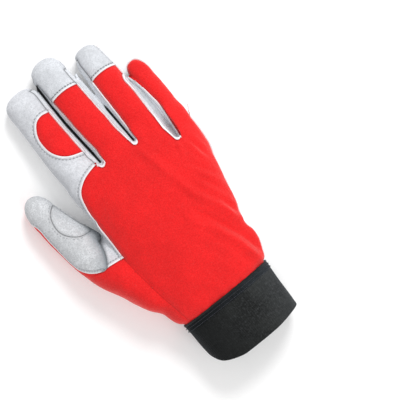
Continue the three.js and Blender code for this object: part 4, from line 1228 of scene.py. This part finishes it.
def strap_outline(right, length, width, take):
    """The strap's outline, from its square end round the free end, at even steps."""
    radius, centre = width / 2 - take, right - length + width / 2
    turn = np.pi * (0.5 + np.linspace(0, 1, 41))
    end = np.stack([centre + radius * powered(np.cos(turn), 0.85),
                    strap_middle + radius * powered(np.sin(turn), 0.85)], 1)
    bend = np.linspace(0, np.pi / 2, 7)
    top = np.stack([right - take - STRAP_CORNER * (1 - np.cos(bend)),
                    strap_middle + radius - STRAP_CORNER * (1 - np.sin(bend))], 1)
    low = np.stack([top[::-1, 0], 2 * strap_middle - top[::-1, 1]], 1)
    return np.vstack([resample(np.vstack([low, top]), 1.0), resample(np.vstack([top[-1:], end]), 1.0)[1:],
                      resample(np.vstack([end[-1:], low[:1]]), 1.0)[1:-1]])


def ring_of(right, length, width, take, height, count=190):
    line = strap_outline(right, length, width, take)
    line = np.vstack([line, line[:1]])
    places = np.linspace(0, lengths_along(line)[-1], count, endpoint=False)
    return np.column_stack([along_line(line, places), np.full(count, height)])


def slab(rings):
    """Rings from the middle of one face, over the edge, to the middle of the other."""
    count, total = len(rings[0]), len(rings) * len(rings[0])
    ends = [list(range(count))[::-1], list(range(total - count, total))]
    return np.vstack(rings), ring_quads(len(rings), count).tolist() + ends


def shaped(right, length, width, profile):
    return slab([ring_of(right, length, width, take, height) for take, height in profile])


half = STRAP_WIDTH / 2
points, faces = shaped(strap_right, STRAP_LENGTH, STRAP_WIDTH, [
    (half * 0.6, BAND_LOW), (0.35, BAND_LOW), (0.1, BAND_LOW + 0.2), (0, (BAND_LOW + STRAP_TOP) / 2),
    (0.1, STRAP_TOP - 0.2), (0.35, STRAP_TOP), (half * 0.6, STRAP_TOP)])
add_piece("wrist_strap_soft", points, faces, WEBBING, "strap_webbing", ["wrist_strap"])

# Its doubled end, with two ribs across it
xs = np.linspace(strap_right - STRAP_FOLD + 0.1, strap_right - 0.2, 41)
ys = np.linspace(strap_middle - half + 0.3, strap_middle + half - 0.3, 61)
grid_x, grid_y = np.meshgrid(xs, ys, indexing="ij")
share = (grid_x - xs[0]) / (xs[-1] - xs[0])
ribs = np.maximum(np.sin(np.pi * np.clip(share * 2 - np.floor(share * 2 - 1e-9), 0, 1)), 0) ** 0.5
close = np.minimum(grid_y - ys[0], ys[-1] - grid_y)
ribs *= np.sqrt(1 - (1 - np.clip(close / 1.2, 0, 1)) ** 2 * 0.9)
under = BAND_LOW - 0.15 - (BAND_LOW - 0.35) * ribs
top = np.full_like(under, BAND_LOW - 0.02)
points = np.vstack([np.stack([grid_x, grid_y, side], -1).reshape(-1, 3) for side in (under, top)])
number = np.arange(grid_x.size).reshape(grid_x.shape)
corners = (number[:-1, :-1], number[:-1, 1:], number[1:, 1:], number[1:, :-1])
sheet = np.stack([corner.ravel() for corner in corners], 1)
line = np.concatenate([number[0], number[1:, -1], number[-1, -2::-1], number[-2:0:-1, 0]])
after = np.roll(line, -1)
rim = np.stack([line, after, after + number.size, line + number.size], 1)
faces = np.vstack([sheet, sheet[:, ::-1] + number.size, rim[:, ::-1]])
add_piece("strap_fold", points, faces, WEBBING, "strap_webbing", sharp=60)

# The moulded tab: a raised rim round a smooth face, with a groove between them
profile = [(9.0, 0.42), (TAB_RIM + 1.3, 0.36), (TAB_RIM + 0.9, 0.4), (TAB_RIM + 0.55, 0.75),
           (TAB_RIM + 0.2, 0.75), (TAB_RIM - 0.1, 0.3), (TAB_RIM - 0.6, 0.08), (TAB_RIM - 1.2, 0.0),
           (1.4, 0.0), (0.7, 0.06), (0.25, 0.25), (0.0, 0.7), (0.2, TAB_THICKNESS - 0.15),
           (0.6, TAB_THICKNESS), (9.0, TAB_THICKNESS)]
points, faces = shaped(tab_right, TAB_LENGTH, TAB_WIDTH, profile)
add_piece("strap_tab_moulded", points, faces, RUBBER, "strap_rubber", ["strap_tab"], sharp=40)


# Stitches beside the seams: which panel, its neighbours, how far from the seam, and their thread
ROWS = [("palm_panel", ("back_panel", "knuckle_patch"), 2.4, PALE_THREAD),
        ("palm_panel", ("side_panel",), 2.2, PALE_THREAD),
        ("thumb_panel", ("side_panel",), 2.0, PALE_THREAD),
        ("thumb_panel", ("thumb_patch",), 1.9, PALE_THREAD),
        ("middle_tip_cap", ("back_panel",), 2.0, DARK_THREAD),
        ("ring_tip_cap", ("back_panel",), 2.0, DARK_THREAD)]
PITCH, STITCH, STITCH_RADIUS = 2.3, 1.75, 0.24
sewn = {}
for panel, neighbours, inward, look in ROWS:
    edges, other = borders[panel]
    wanted = np.isin(other, [names.index(n) for n in neighbours])
    surface = BVHTree.FromPolygons([Vector(p) for p in skins[panel]], panels[panel].tolist())
    for line in chains(edges, wanted):
        rows = beside(skins[panel][line], surface, inward, PITCH)
        sewn.setdefault(look.name, (look, []))[1].extend(rows)
for look, rows in sewn.values():
    points, faces = thread(rows, STITCH, STITCH_RADIUS)
    add_piece("stitches_" + look.name, points, faces, look, "palm_leather", sharp=80)

# A short end of red thread that sticks out of the seam below the little finger
path = resample([[58.6, 151.8, 17.0], [60.2, 153.2, 17.6], [61.6, 154.9, 18.2], [62.0, 157.0, 18.6],
                 [63.3, 158.6, 19.5], [64.2, 160.2, 19.9]], 0.5)
rows = [(place, step, (0.0, 0.0, 1.0)) for place, step in zip(path, np.gradient(path, axis=0))]
points, faces = thread(rows, 0.75, 0.17, 0.0)
add_piece("loose_thread", points, faces, RED_THREAD, "red_fabric", sharp=80)

# Two rows of small stitches round the cuff's band
rows = []
angles, _ = even_angles(118)
for y in (CUFF_SEAM - 5.3, CUFF_SEAM - 2.9):
    ring = cuff_place(angles, np.ones_like(angles), 0.55, 0.0, y)
    ahead = unit(np.roll(ring, -1, axis=0) - np.roll(ring, 1, axis=0))
    out = np.cross(ahead, [0, 1, 0])
    out *= np.sign((out * (ring - [CUFF_MIDDLE, 0, CUFF_DEPTH / 2])).sum(1))[:, None]
    rows += list(zip(ring, ahead, out))
points, faces = thread(rows, 1.2, 0.17)
add_piece("stitches_cuff", points, faces, CUFF_THREAD, "cuff_knit", sharp=80)


# Floor, light and camera
WORLD_LIGHT, FLOOR_GLOW = 0.645, 0.12   # the floor glows a little, so that it looks as white as in the photo
# Name, place (m), diameter (m) and power (W); both aim at the middle
LIGHTS = (("key", (0.75, 0.6, 1.0), 0.5, 11.5), ("fill", (0.1, -1.0, 0.9), 0.8, 5.4))
FRAME_WIDTH, LENS, SENSOR = 0.2805, 120.0, 36.0
LOOKS_AT, TURN = (0.0355, -0.0224, 0.018), -39.07   # the picture's middle, and the camera's turn in degrees

plain = Nodes("pale_floor")
mist = plain.span(plain.noise(60, 3, 0.5), 0.3, 0.7)
floor_look = plain.finish(plain.mix(mist, (0.86, 0.86, 0.86), (0.9, 0.9, 0.9)), 0.6, None, specular=0.2)
plain.shader.inputs["Emission Color"].default_value = (1, 1, 1, 1)
plain.shader.inputs["Emission Strength"].default_value = FLOOR_GLOW
bpy.ops.mesh.primitive_plane_add(size=6, location=(0, 0, 0))
floor = bpy.context.object
floor.name = "floor"
floor.data.materials.append(floor_look)

scene = bpy.context.scene
scene.view_settings.view_transform = "Standard"
world = bpy.data.worlds.new("studio")
scene.world = world
world.use_nodes = True
background = world.node_tree.nodes["Background"]
background.inputs["Color"].default_value = (1, 1, 1, 1)
background.inputs["Strength"].default_value = WORLD_LIGHT

for name, place, size, power in LIGHTS:
    light = bpy.data.lights.new(name, "AREA")
    light.shape, light.size, light.energy = "DISK", size, power
    lamp = bpy.data.objects.new(name, light)
    lamp.location = place
    lamp.rotation_euler = (-Vector(place)).to_track_quat("-Z", "Y").to_euler()
    scene.collection.objects.link(lamp)

view = bpy.data.cameras.new("view")
view.lens, view.sensor_width = LENS, SENSOR
camera = bpy.data.objects.new("view", view)
camera.location = Vector(LOOKS_AT) + Vector((0, 0, FRAME_WIDTH * LENS / SENSOR))
camera.rotation_euler = (0, 0, math.radians(TURN))
scene.collection.objects.link(camera)
scene.camera = camera
